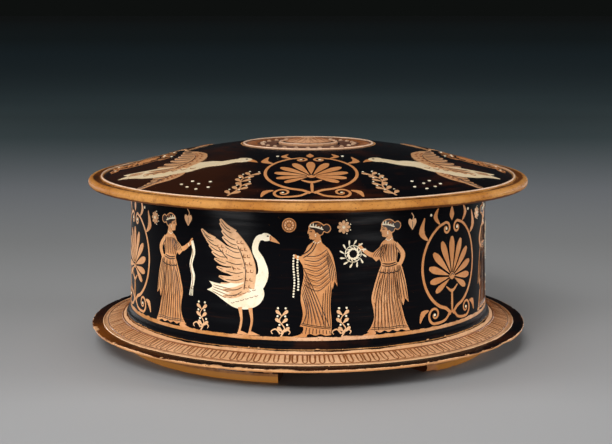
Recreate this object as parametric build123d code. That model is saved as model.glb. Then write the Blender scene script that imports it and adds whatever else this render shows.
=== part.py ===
# Greek pyxis: a low round lidded box of turned clay on three curved feet.
#
# Frame: +Z up, origin on the wheel axis at the level the feet stand on.
# The front, where the widest gap between two feet shows, looks along -Y.
# The box is built up as a potter does: feet, base flange, moulding, floor and
# wall are formed one by one and luted with slip. The lid is a second build of
# dome, rim, seat ring and medallion, and lifts straight off the mouth.

import os
from math import radians, sin, cos, sqrt

from build123d import *

# Driving sizes, in millimetres and degrees

# Box wall
MOUTH_RADIUS = 88.0          # bore of the box
WALL_THICKNESS = 5.0         # at the mouth
WALL_FLARE = 1.4             # how much wider the wall is outside at its foot
WALL_HEIGHT = 72.0           # from the flange plate to the mouth
MOUTH_ROUND = 1.2            # soft corner of the mouth

# Floor
FLOOR_THICKNESS = 5.0
FLOOR_EDGE_ROUND = 1.0

# Base flange
FLANGE_OVERHANG = 20.4       # from the wall's foot to the flange edge
FLANGE_PLATE = 4.0           # thickness under the floor
FLANGE_OPENING_RADIUS = 70.0 # open middle under the floor
SHOULDER_RISE = 2.0          # step that the wall's foot stands inside
SHOULDER_WIDTH = 2.1         # sloping step from that height down to the ornament band
SHOULDER_DROP = 1.5
FLANGE_EDGE_HEIGHT = 1.5     # upright outer edge
FLANGE_EDGE_ROUND = 0.6
EDGE_BAND_WIDTH = 5.5        # nearly flat band beside the outer edge
EDGE_BAND_RISE = 0.1
RIDGE_WIDTH = 1.0            # thin raised line inside that band
RIDGE_RISE = 0.4

# Moulding round the foot of the wall
MOULDING_WIDTH = 1.9
MOULDING_EDGE_HEIGHT = 1.2
MOULDING_HEIGHT = 4.3
MOULDING_HOLLOW = 0.3        # depth of the hollow in its sloping face

# Feet
FOOT_COUNT = 3
FOOT_HEIGHT = 10.0
FOOT_DEPTH = 15.0            # across the ring
FOOT_INSET = 17.8            # from the flange edge to the foot's outer face
FOOT_GAP_ANGLE = 45.0        # open angle between two feet
FRONT_GAP_ANGLE = -76.0      # middle of the front gap, from +X
FOOT_TOE_HEIGHT = 5.2        # lower, wider part of the foot
FOOT_TOE_STEP = 1.3
FOOT_TOE_ROUND = 0.8
KEY_WIDTH = 4.0              # rib on the foot that seats in a groove above it
KEY_HEIGHT = 1.2

# Lid
LID_OVERHANG = 22.0          # from the wall's mouth to the lid edge
RIM_WIDTH = 7.8              # rolled rim, across
RIM_HEIGHT = 4.7
RIM_DROP = 2.4               # rolled rim's underside below the lid's seat
RIM_GROOVE_WIDTH = 1.5       # from the thin raised line to the groove
RIM_GROOVE_DEPTH = 0.8
RIM_RIDGE_RISE = 0.35
RIM_STEP = 2.2               # rebate of the dome edge that the rim laps under
DOME_RISE = 17.6             # crown of the dome above its edge
CROWN_BACKING = 2.7          # clay left under the medallion
SEAT_WIDTH = 6.0             # ring face that rests on the mouth
COLLAR_DEPTH = 9.0           # collar that drops into the mouth
COLLAR_THICKNESS = 4.2
COLLAR_CLEARANCE = 0.8       # collar to bore, on the radius
COLLAR_ROUND = 1.0

# Medallion on the crown
MEDALLION_RADIUS = 34.8
MEDALLION_SINK = 1.3         # recess in the crown
MEDALLION_FIELD = 1.1        # thickness of the disc
MEDALLION_RING_WIDTH = 1.9
MEDALLION_RING_RISE = 0.5
BOSS_RADIUS = 15.6
BOSS_HEIGHT = 3.3            # top of its low dome above the field
BOSS_EDGE_HEIGHT = 0.8       # foot of the dome above the field
BOSS_RING_WIDTH = 1.5
BOSS_RING_RISE = 0.35
PELLET_COUNT = 24
PELLET_RADIUS = 1.3
PELLET_HEIGHT = 0.9

SLIP_GAP = 0.15              # film of slip between luted round faces

# Places worked out from the driving sizes

flange_under = FOOT_HEIGHT
plate_top = flange_under + FLANGE_PLATE
shoulder_top = plate_top + SHOULDER_RISE
moulding_top = shoulder_top + MOULDING_HEIGHT
mouth_top = plate_top + WALL_HEIGHT

mouth_outer = MOUTH_RADIUS + WALL_THICKNESS
wall_foot_radius = mouth_outer + WALL_FLARE
flange_radius = wall_foot_radius + FLANGE_OVERHANG
rebate_radius = wall_foot_radius + SLIP_GAP
moulding_radius = rebate_radius + MOULDING_WIDTH

foot_outer = flange_radius - FOOT_INSET
foot_inner = foot_outer - FOOT_DEPTH
key_outer = (foot_outer + foot_inner + KEY_WIDTH) / 2
key_inner = key_outer - KEY_WIDTH

lid_radius = mouth_outer + LID_OVERHANG
dome_radius = lid_radius - RIM_WIDTH
dome_step_radius = dome_radius - RIM_STEP
rim_under = mouth_top - RIM_DROP
rim_top = rim_under + RIM_HEIGHT
rim_middle = (rim_under + rim_top) / 2
dome_edge = rim_top
dome_crown = dome_edge + DOME_RISE


def sphere_radius(rise, reach):
    """Radius of the sphere whose cap is rise high and reach wide from its middle."""
    return (reach**2 + rise**2) / (2 * rise)


def cap_height(crown, ball, radius):
    """Height of a spherical cap with its top at crown, at this distance from the axis."""
    return crown - (ball - sqrt(ball**2 - radius**2))


outer_ball = sphere_radius(DOME_RISE, dome_radius)
recess_radius = MEDALLION_RADIUS + SLIP_GAP
medallion_floor = cap_height(dome_crown, outer_ball, recess_radius) - MEDALLION_SINK
medallion_field = medallion_floor + MEDALLION_FIELD
inner_crown = medallion_floor - CROWN_BACKING
inner_ball = sphere_radius(inner_crown - rim_under, dome_step_radius)


# Tools of the wheel

def turned(outline, rounds=(), span=360.0, start=0.0):
    """Turns a closed outline of (radius, height) points about the axis. rounds lists the
    corners that are softened, each as (point, radius)."""
    profile = make_face(Polyline(*outline, close=True))
    for corner, radius in rounds:
        vertex = profile.vertices().sort_by_distance(corner)[0]
        profile = fillet(vertex, radius)
    return Rot(Z=start) * revolve(Plane.XZ * profile, Axis.Z, span)


def turned_edges(edges):
    """Turns a closed chain of lines and arcs in (radius, height) about the axis."""
    return revolve(Plane.XZ * make_face(edges), Axis.Z)


def cap_arc(crown, ball, near, far):
    """Arc of a spherical cap's section from one distance from the axis to another."""
    middle = (near + far) / 2
    return ThreePointArc(*[(r, cap_height(crown, ball, r)) for r in (near, middle, far)])


# The box

def make_foot(start):
    """One curved foot: a wider toe below, and a rib on top that keys it to the flange."""
    neck = foot_outer - FOOT_TOE_STEP
    outline = [
        (foot_inner, 0),
        (foot_outer, 0),
        (foot_outer, FOOT_TOE_HEIGHT),
        (neck, FOOT_TOE_HEIGHT + FOOT_TOE_STEP),
        (neck, FOOT_HEIGHT),
        (key_outer, FOOT_HEIGHT),
        (key_outer, FOOT_HEIGHT + KEY_HEIGHT),
        (key_inner, FOOT_HEIGHT + KEY_HEIGHT),
        (key_inner, FOOT_HEIGHT),
        (foot_inner, FOOT_HEIGHT),
    ]
    toe = [(outline[1], FOOT_TOE_ROUND)]
    return turned(outline, toe, 360.0 / FOOT_COUNT - FOOT_GAP_ANGLE, start)


def make_base_flange():
    """Wide plate under the box, with a groove below for the feet. Its top slopes gently from
    a shoulder round the moulding to a thin raised line, and more steeply on to the edge."""
    edge_top = flange_under + FLANGE_EDGE_HEIGHT
    ridge_outer = flange_radius - EDGE_BAND_WIDTH
    ridge_inner = ridge_outer - RIDGE_WIDTH
    ridge_foot = edge_top + EDGE_BAND_RISE
    outline = [
        (FLANGE_OPENING_RADIUS, flange_under),
        (key_inner - SLIP_GAP, flange_under),
        (key_inner - SLIP_GAP, flange_under + KEY_HEIGHT),
        (key_outer + SLIP_GAP, flange_under + KEY_HEIGHT),
        (key_outer + SLIP_GAP, flange_under),
        (flange_radius, flange_under),
        (flange_radius, edge_top),
        (ridge_outer, ridge_foot),
        (ridge_outer - RIDGE_WIDTH / 4, ridge_foot + RIDGE_RISE),
        (ridge_inner + RIDGE_WIDTH / 4, ridge_foot + RIDGE_RISE),
        (ridge_inner, ridge_foot),
        (moulding_radius + SHOULDER_WIDTH, shoulder_top - SHOULDER_DROP),
        (moulding_radius, shoulder_top),
        (rebate_radius, shoulder_top),
        (rebate_radius, plate_top),
        (FLANGE_OPENING_RADIUS, plate_top),
    ]
    rounds = [(outline[5], FLANGE_EDGE_ROUND), (outline[6], FLANGE_EDGE_ROUND)]
    return turned(outline, rounds)


def make_base_moulding():
    """Ring round the wall's foot: an upright edge, then a slightly hollow slope."""
    lip = (moulding_radius, shoulder_top + MOULDING_EDGE_HEIGHT)
    crest = (rebate_radius, moulding_top)
    foot = (rebate_radius, shoulder_top)
    toe = (moulding_radius, shoulder_top)
    slope = Vector(*crest) - Vector(*lip)
    inward = Vector(slope.Y, -slope.X).normalized() * -MOULDING_HOLLOW
    hollow = (Vector(*crest) + Vector(*lip)) / 2 + inward
    return turned_edges([
        Line(foot, toe),
        Line(toe, lip),
        ThreePointArc(lip, (hollow.X, hollow.Y), crest),
        Line(crest, foot),
    ])


def make_body_wall():
    """Upright wall, straight at its foot and drawn in a little towards the mouth."""
    outline = [
        (MOUTH_RADIUS, plate_top),
        (wall_foot_radius, plate_top),
        (wall_foot_radius, moulding_top),
        (mouth_outer, mouth_top),
        (MOUTH_RADIUS, mouth_top),
    ]
    return turned(outline, [(corner, MOUTH_ROUND) for corner in outline[3:]])


def make_floor_disc():
    """Flat floor inside the wall, carried by the flange plate."""
    radius = MOUTH_RADIUS - SLIP_GAP
    outline = [
        (0, plate_top),
        (radius, plate_top),
        (radius, plate_top + FLOOR_THICKNESS),
        (0, plate_top + FLOOR_THICKNESS),
    ]
    return turned(outline, [(outline[2], FLOOR_EDGE_ROUND)])


# The lid

def make_lid_dome():
    """Shallow dome with a flat recess on its crown and a rebated edge for the rim."""
    recess = (recess_radius, medallion_floor)
    recess_lip = (recess_radius, cap_height(dome_crown, outer_ball, recess_radius))
    edge = (dome_radius, dome_edge)
    edge_under = (dome_radius, rim_middle)
    step = (dome_step_radius, rim_middle)
    step_under = (dome_step_radius, rim_under)
    return turned_edges([
        Line((0, medallion_floor), recess),
        Line(recess, recess_lip),
        cap_arc(dome_crown, outer_ball, recess_radius, dome_radius),
        Line(edge, edge_under),
        Line(edge_under, step),
        Line(step, step_under),
        cap_arc(inner_crown, inner_ball, dome_step_radius, 0),
        Line((0, inner_crown), (0, medallion_floor)),
    ])


def make_lid_rim():
    """Rolled rim lapped under the dome's edge, with a raised line and a groove on top."""
    top_inner = dome_radius + SLIP_GAP
    step_inner = dome_step_radius + SLIP_GAP
    ridge_radius = top_inner + RIM_GROOVE_WIDTH / 2
    groove_radius = ridge_radius + RIM_GROOVE_WIDTH
    roll = RIM_HEIGHT / 2
    roll_middle = lid_radius - roll
    return turned_edges([
        Line((step_inner, rim_under), (roll_middle, rim_under)),
        ThreePointArc((roll_middle, rim_under), (lid_radius, rim_middle), (roll_middle, rim_top)),
        Line((roll_middle, rim_top), (groove_radius, rim_top - RIM_GROOVE_DEPTH)),
        Line((groove_radius, rim_top - RIM_GROOVE_DEPTH), (ridge_radius, rim_top + RIM_RIDGE_RISE)),
        Line((ridge_radius, rim_top + RIM_RIDGE_RISE), (top_inner, rim_top)),
        Line((top_inner, rim_top), (top_inner, rim_middle)),
        Line((top_inner, rim_middle), (step_inner, rim_middle)),
        Line((step_inner, rim_middle), (step_inner, rim_under)),
    ])


def make_lid_flange():
    """Ring under the dome: a flat seat that rests on the mouth, and a collar inside it."""
    collar_outer = MOUTH_RADIUS - COLLAR_CLEARANCE
    collar_inner = collar_outer - COLLAR_THICKNESS
    seat_outer = MOUTH_RADIUS + SEAT_WIDTH
    collar_foot = mouth_top - COLLAR_DEPTH
    crown = inner_crown - SLIP_GAP
    tops = [(r, cap_height(crown, inner_ball, r)) for r in (collar_inner, seat_outer)]
    profile = make_face([
        Line((collar_outer, mouth_top), (seat_outer, mouth_top)),
        Line((seat_outer, mouth_top), tops[1]),
        cap_arc(crown, inner_ball, seat_outer, collar_inner),
        Line(tops[0], (collar_inner, collar_foot)),
        Line((collar_inner, collar_foot), (collar_outer, collar_foot)),
        Line((collar_outer, collar_foot), (collar_outer, mouth_top)),
    ])
    for corner in ((collar_inner, collar_foot), (collar_outer, collar_foot)):
        vertex = profile.vertices().sort_by_distance(corner)[0]
        profile = fillet(vertex, COLLAR_ROUND)
    return revolve(Plane.XZ * profile, Axis.Z)


def make_medallion_disc():
    """Flat disc let into the crown, with a raised ring round its field."""
    ring_inner = MEDALLION_RADIUS - MEDALLION_RING_WIDTH
    ring_middle = MEDALLION_RADIUS - MEDALLION_RING_WIDTH / 2
    ring_crest = (ring_middle, medallion_field + MEDALLION_RING_RISE)
    edge = (MEDALLION_RADIUS, medallion_field)
    return turned_edges([
        Line((0, medallion_floor), (MEDALLION_RADIUS, medallion_floor)),
        Line((MEDALLION_RADIUS, medallion_floor), edge),
        ThreePointArc(edge, ring_crest, (ring_inner, medallion_field)),
        Line((ring_inner, medallion_field), (0, medallion_field)),
        Line((0, medallion_field), (0, medallion_floor)),
    ])


def make_medallion_boss():
    """Low domed boss in the middle of the medallion, with a raised ring round its foot."""
    ring_inner = BOSS_RADIUS - BOSS_RING_WIDTH
    ring_middle = BOSS_RADIUS - BOSS_RING_WIDTH / 2
    foot = medallion_field + BOSS_EDGE_HEIGHT
    top = medallion_field + BOSS_HEIGHT
    ball = sphere_radius(top - foot, ring_inner)
    return turned_edges([
        Line((0, medallion_field), (BOSS_RADIUS, medallion_field)),
        Line((BOSS_RADIUS, medallion_field), (BOSS_RADIUS, foot)),
        ThreePointArc((BOSS_RADIUS, foot), (ring_middle, foot + BOSS_RING_RISE), (ring_inner, foot)),
        cap_arc(top, ball, ring_inner, 0),
        Line((0, top), (0, medallion_field)),
    ])


def make_medallion_pellets():
    """Ring of small clay pellets pressed on to the medallion's field."""
    ball = sphere_radius(PELLET_HEIGHT, PELLET_RADIUS)
    pellet = turned_edges([
        Line((0, 0), (PELLET_RADIUS, 0)),
        cap_arc(PELLET_HEIGHT, ball, PELLET_RADIUS, 0),
        Line((0, PELLET_HEIGHT), (0, 0)),
    ])
    ring = (BOSS_RADIUS + MEDALLION_RADIUS - MEDALLION_RING_WIDTH) / 2
    pellets = []
    for index in range(PELLET_COUNT):
        angle = radians(360.0 * index / PELLET_COUNT)
        pellets.append(Pos(ring * cos(angle), ring * sin(angle), medallion_field) * pellet)
    return Compound(children=pellets)


def foot_names():
    """Names the feet by their place, going round from the front gap."""
    known = {3: ["foot_right", "foot_rear", "foot_front_left"]}
    return known.get(FOOT_COUNT, [f"foot_{number + 1}" for number in range(FOOT_COUNT)])


def main():
    pieces = {
        "body_wall": make_body_wall(),
        "floor_disc": make_floor_disc(),
        "base_flange": make_base_flange(),
        "base_moulding": make_base_moulding(),
        "lid_dome": make_lid_dome(),
        "lid_rim": make_lid_rim(),
        "lid_flange": make_lid_flange(),
        "medallion_disc": make_medallion_disc(),
        "medallion_boss": make_medallion_boss(),
        "medallion_pellets": make_medallion_pellets(),
    }
    for place, name in enumerate(foot_names()):
        start = FRONT_GAP_ANGLE + FOOT_GAP_ANGLE / 2 + 360.0 * place / FOOT_COUNT
        pieces[name] = make_foot(start)
    os.makedirs("parts", exist_ok=True)
    for name, shape in pieces.items():
        export_step(shape, f"parts/{name}.step")


main()
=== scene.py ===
import math
import random

import bpy
import bmesh
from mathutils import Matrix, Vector, noise
from mathutils.geometry import delaunay_2d_cdt


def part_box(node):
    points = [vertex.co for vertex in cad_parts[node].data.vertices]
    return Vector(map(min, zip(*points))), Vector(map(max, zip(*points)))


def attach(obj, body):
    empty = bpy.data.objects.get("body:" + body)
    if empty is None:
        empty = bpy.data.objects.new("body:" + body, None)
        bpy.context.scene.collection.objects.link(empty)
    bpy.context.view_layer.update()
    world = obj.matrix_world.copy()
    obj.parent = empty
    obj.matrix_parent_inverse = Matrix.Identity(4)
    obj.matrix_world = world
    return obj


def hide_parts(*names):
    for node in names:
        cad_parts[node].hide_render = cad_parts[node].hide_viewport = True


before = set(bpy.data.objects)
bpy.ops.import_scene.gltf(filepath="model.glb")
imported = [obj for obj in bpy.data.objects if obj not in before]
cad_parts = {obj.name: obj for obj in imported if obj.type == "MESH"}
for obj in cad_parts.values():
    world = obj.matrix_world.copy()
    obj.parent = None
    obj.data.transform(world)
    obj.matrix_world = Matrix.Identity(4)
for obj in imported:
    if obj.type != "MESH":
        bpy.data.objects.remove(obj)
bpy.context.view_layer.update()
mm = 0.001
print("frame in:", len(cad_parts), "nodes")


# sizes read from the frame, in millimetres

def nodeSpan(node):  # radius, foot and top of a turned node
    low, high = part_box(node)
    return high.x / mm, low.z / mm, high.z / mm


flangeRadius, flangeFoot, flangeTop = nodeSpan("base_flange")
mouldingRadius, mouldingFoot, mouldingTop = nodeSpan("base_moulding")
wallRadius, wallFoot, wallTop = nodeSpan("body_wall")
floorRadius, floorFoot, floorTop = nodeSpan("floor_disc")
domeRadius = nodeSpan("lid_dome")[0]
rimRadius, rimFoot, rimTop = nodeSpan("lid_rim")
seatRadius, collarFoot = nodeSpan("lid_flange")[:2]
medallionRadius, medallionFoot, medallionTop = nodeSpan("medallion_disc")
bossRadius, bossFoot, bossTop = nodeSpan("medallion_boss")


# shader helpers

def addNode(tree, kind, **values):
    node = tree.nodes.new("ShaderNode" + kind)
    for name, value in values.items():
        setattr(node, name, value)
    return node


def wire(tree, value, socket):  # a link for a socket, a plain value for anything else
    if isinstance(value, bpy.types.NodeSocket):
        tree.links.new(value, socket)
    else:
        socket.default_value = value


def math2(tree, operation, a, b=0.0):
    node = addNode(tree, "Math", operation=operation)
    wire(tree, a, node.inputs[0])
    wire(tree, b, node.inputs[1])
    return node.outputs[0]


def ramp(tree, value, low, high, toLow=0.0, toHigh=1.0):
    node = addNode(tree, "MapRange", interpolation_type="SMOOTHSTEP")
    for socket, given in zip(node.inputs, (value, low, high, toLow, toHigh)):
        wire(tree, given, socket)
    return node.outputs[0]


def mixColour(tree, factor, a, b):
    node = addNode(tree, "Mix", data_type="RGBA")
    wire(tree, factor, node.inputs[0])
    wire(tree, a, node.inputs[6])
    wire(tree, b, node.inputs[7])
    return node.outputs[2]


def grain(tree, vector, scale, detail=3.0, roughness=0.55):
    node = addNode(tree, "TexNoise")
    wire(tree, vector, node.inputs["Vector"])
    wire(tree, scale, node.inputs["Scale"])
    wire(tree, detail, node.inputs["Detail"])
    wire(tree, roughness, node.inputs["Roughness"])
    return node.outputs["Fac"]


def objectPoint(tree):
    return addNode(tree, "TexCoord").outputs["Object"]


def wheelStreaks(tree, point, across, along):  # noise drawn out round the wheel axis, with no seam
    flat = addNode(tree, "VectorMath", operation="MULTIPLY")
    wire(tree, point, flat.inputs[0])
    flat.inputs[1].default_value = (1, 1, 0)
    turn = addNode(tree, "VectorMath", operation="NORMALIZE")
    wire(tree, flat.outputs[0], turn.inputs[0])
    radius = addNode(tree, "VectorMath", operation="LENGTH")
    wire(tree, flat.outputs[0], radius.inputs[0])
    spread = addNode(tree, "VectorMath", operation="SCALE")
    wire(tree, turn.outputs[0], spread.inputs[0])
    wire(tree, along, spread.inputs["Scale"])
    lift = addNode(tree, "CombineXYZ")
    wire(tree, math2(tree, "MULTIPLY", radius.outputs["Value"], across), lift.inputs[2])
    spot = addNode(tree, "VectorMath", operation="ADD")
    wire(tree, spread.outputs[0], spot.inputs[0])
    wire(tree, lift.outputs[0], spot.inputs[1])
    height = addNode(tree, "SeparateXYZ")
    wire(tree, point, height.inputs[0])
    node = addNode(tree, "TexNoise", noise_dimensions="4D")
    wire(tree, spot.outputs[0], node.inputs["Vector"])
    wire(tree, math2(tree, "MULTIPLY", height.outputs[2], across), node.inputs["W"])
    wire(tree, 1.0, node.inputs["Scale"])
    wire(tree, 2.0, node.inputs["Detail"])
    return node.outputs["Fac"]


def attribute(tree, name):
    return addNode(tree, "Attribute", attribute_name=name).outputs["Fac"]


def newMaterial(name):
    material = bpy.data.materials.new(name)
    material.use_nodes = True
    tree = material.node_tree
    return material, tree, tree.nodes["Principled BSDF"]


def addBump(tree, shader, height, strength, distance):
    bump = addNode(tree, "Bump")
    wire(tree, height, bump.inputs["Height"])
    bump.inputs["Strength"].default_value = strength
    bump.inputs["Distance"].default_value = distance
    tree.links.new(bump.outputs["Normal"], shader.inputs["Normal"])


def srgb(red, green, blue):  # screen colour of 0 to 255 as the shader wants it
    parts = [v / 255 for v in (red, green, blue)]
    return tuple([v / 12.92 if v < 0.04 else ((v + 0.055) / 1.055) ** 2.4 for v in parts] + [1.0])


# fired clay with bands of dark gloss: the attributes glossEdge and wearEdge come with each turned piece

slipLook = dict(
    clayLight=srgb(220, 162, 104),
    clayMain=srgb(200, 136, 74),
    clayDeep=srgb(150, 90, 44),
    speck=srgb(74, 40, 22),
    chip=srgb(224, 176, 130),
    glossBlack=srgb(8, 8, 11),
    glossBrown=srgb(58, 28, 14),
    clayRoughness=0.56,
    glossRoughness=0.19,
    claySheen=0.16,
    glossSheen=0.11,
    speckShare=0.6,
    patch=None,  # place and reach of a patch that fired brown, in metres
    patchColour=srgb(58, 28, 14),
    wobble=0.5,  # how far the brush strays from its line, in mm
    drift=0.0,  # slow wander of the painted edge, in mm
    edgeSoft=0.1,  # how far the slip thins out at its edge, in mm
    wear=0.42,  # share of chipped edge
    brownShare=0.62,  # blotch level over which the gloss fires brown
    seedShift=(0.0, 0.0, 0.0),
    relief=0.35,  # strength of the wheel marks
    lowClay=None,  # colour of the clay under the height lowTop, in metres
    lowTop=0.0,
)


def slipMaterial(name, **changes):
    look = {**slipLook, **changes}
    material, tree, shader = newMaterial(name)
    start = addNode(tree, "Mapping")
    wire(tree, objectPoint(tree), start.inputs[0])
    start.inputs["Location"].default_value = look["seedShift"]
    shifted = start.outputs[0]
    point = objectPoint(tree)
    blotch = grain(tree, shifted, 34.0, 4.0)
    fine = grain(tree, shifted, 1600.0, 2.0)
    speckle = grain(tree, shifted, 950.0, 3.0, 0.7)
    streak = wheelStreaks(tree, point, 1100.0, 5.0)
    broad = wheelStreaks(tree, point, 260.0, 2.5)

    clay = mixColour(tree, ramp(tree, blotch, 0.36, 0.66), look["clayMain"], look["clayLight"])
    clay = mixColour(tree, ramp(tree, broad, 0.5, 0.8, 0.0, 0.35), clay, look["clayDeep"])
    clay = mixColour(tree, ramp(tree, streak, 0.5, 0.8, 0.0, 0.22), clay, look["clayDeep"])
    mottle = grain(tree, shifted, 240.0, 4.0, 0.65)
    clay = mixColour(tree, ramp(tree, mottle, 0.48, 0.72, 0.0, 0.5), clay, look["clayDeep"])
    dirt = math2(tree, "ADD", speckle, ramp(tree, attribute(tree, "wearEdge"), 0.0, 2.0, 0.05, 0.0))
    share = look["speckShare"]
    clay = mixColour(tree, ramp(tree, dirt, share, share + 0.1, 0.0, 0.7), clay, look["speck"])

    # a second clay colour below lowTop; on the feet the darker clay above it is painted shade
    if look["lowClay"]:
        height = addNode(tree, "SeparateXYZ")
        wire(tree, point, height.inputs[0])
        low = ramp(tree, height.outputs[2], look["lowTop"] - 0.0003, look["lowTop"] + 0.0003, 0.85, 0.0)
        clay = mixColour(tree, low, clay, look["lowClay"])

    thin = math2(tree, "ADD", math2(tree, "MULTIPLY", blotch, 0.7), math2(tree, "MULTIPLY", broad, 0.3))
    gloss = mixColour(tree, ramp(tree, thin, look["brownShare"] - 0.1, look["brownShare"] + 0.14),
                      look["glossBlack"], look["glossBrown"])
    gloss = mixColour(tree, ramp(tree, streak, 0.55, 0.85, 0.0, 0.3), gloss, look["glossBrown"])
    if look["patch"]:
        away = addNode(tree, "VectorMath", operation="DISTANCE")
        wire(tree, point, away.inputs[0])
        away.inputs[1].default_value = look["patch"][:3]
        cloud = math2(tree, "ADD", away.outputs["Value"], math2(tree, "MULTIPLY", blotch, -0.06))
        misfired = ramp(tree, cloud, look["patch"][3] - 0.06, look["patch"][3] - 0.015, 0.85, 0.0)
        gloss = mixColour(tree, misfired, gloss, look["patchColour"])

    stray = grain(tree, shifted, 220.0, 4.0, 0.6)
    brush = math2(tree, "MULTIPLY", math2(tree, "SUBTRACT", stray, 0.5), look["wobble"] * 2)
    edge = math2(tree, "ADD", attribute(tree, "glossEdge"), brush)
    if look["drift"]:
        slow = math2(tree, "SUBTRACT", grain(tree, shifted, 40.0, 2.0), 0.5)
        edge = math2(tree, "ADD", edge, math2(tree, "MULTIPLY", slow, look["drift"] * 2))
    painted = ramp(tree, edge, -look["edgeSoft"], look["edgeSoft"])
    flake = grain(tree, shifted, 420.0, 5.0, 0.65)
    bite = math2(tree, "SUBTRACT", flake, math2(tree, "MULTIPLY", attribute(tree, "wearEdge"), 0.12))
    worn = ramp(tree, bite, 1.0 - look["wear"], 1.04 - look["wear"])
    worn = math2(tree, "MAXIMUM", worn, ramp(tree, attribute(tree, "chipDepth"), 0.12, 0.3))
    pit = ramp(tree, speckle, 0.735, 0.75)  # small losses anywhere in the gloss
    bare = math2(tree, "MAXIMUM", worn, pit)
    mask = math2(tree, "MULTIPLY", painted, math2(tree, "SUBTRACT", 1.0, bare))

    clay = mixColour(tree, math2(tree, "MULTIPLY", worn, 0.8), clay, look["chip"])
    tree.links.new(mixColour(tree, mask, clay, gloss), shader.inputs["Base Color"])
    dull = ramp(tree, broad, 0.3, 0.8, look["glossRoughness"] - 0.04, look["glossRoughness"] + 0.09)
    dry = ramp(tree, fine, 0.2, 0.8, look["clayRoughness"] - 0.08, look["clayRoughness"] + 0.14)
    rough = addNode(tree, "Mix", data_type="FLOAT")
    wire(tree, mask, rough.inputs[0])
    wire(tree, dry, rough.inputs[2])
    wire(tree, dull, rough.inputs[3])
    tree.links.new(rough.outputs[0], shader.inputs["Roughness"])
    sheen = addNode(tree, "Mix", data_type="FLOAT")
    wire(tree, mask, sheen.inputs[0])
    wire(tree, look["claySheen"], sheen.inputs[2])
    wire(tree, look["glossSheen"], sheen.inputs[3])
    tree.links.new(sheen.outputs[0], shader.inputs["Specular IOR Level"])
    relief = math2(tree, "ADD", math2(tree, "MULTIPLY", streak, 0.6), math2(tree, "MULTIPLY", fine, 0.25))
    relief = math2(tree, "ADD", relief, math2(tree, "MULTIPLY", mask, 0.35))
    addBump(tree, shader, relief, look["relief"], 0.00012)
    return material


# turned pieces

wheel = dict(
    outOfRound=0.22,  # slow wander of the wall, in mm at 100 mm radius
    step=2.4,  # longest side of a profile step, in mm
    roundSteps=4,  # steps of a rounded corner
    crease=0.9,  # edges bent more than this stay sharp, in radians
    far=9.0,  # mm, past any edge of slip
)


def wander(angle, height):  # the same for every piece, so that joints stay shut
    turn = Vector((math.cos(angle) * 1.3, math.sin(angle) * 1.3, height * 0.012))
    return noise.noise(turn) * wheel["outOfRound"]


# corners (radius, height, rounding) to a fine path, and where each corner went
def roundedSection(outline, closed):
    count = len(outline)
    path = []
    cornerPlace = []
    for index, (r, z, rounding) in enumerate(outline):
        here = Vector((r, z))
        if not rounding or (not closed and index in (0, count - 1)):
            path.append(here)
            cornerPlace.append(len(path) - 1)
            continue
        before = Vector(outline[index - 1][:2])
        after = Vector(outline[(index + 1) % count][:2])
        into = (before - here).normalized() * min(rounding, (before - here).length * 0.48)
        out = (after - here).normalized() * min(rounding, (after - here).length * 0.48)
        for step in range(wheel["roundSteps"] + 1):
            t = step / wheel["roundSteps"]
            path.append(here + into * (1 - t) ** 2 + out * t ** 2)
        cornerPlace.append(len(path) - 1 - wheel["roundSteps"] // 2)
    return path, cornerPlace


def fineSection(path, closed):  # adds points on long runs; keeps where each old point went
    fine = []
    kept = []
    last = len(path) if closed else len(path) - 1
    for index in range(len(path)):
        kept.append(len(fine))
        fine.append(path[index])
        if index >= last:
            continue
        after = path[(index + 1) % len(path)]
        pieces = max(1, math.ceil((after - path[index]).length / wheel["step"]))
        for part in range(1, pieces):
            fine.append(path[index].lerp(after, part / pieces))
    return fine, kept


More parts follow.
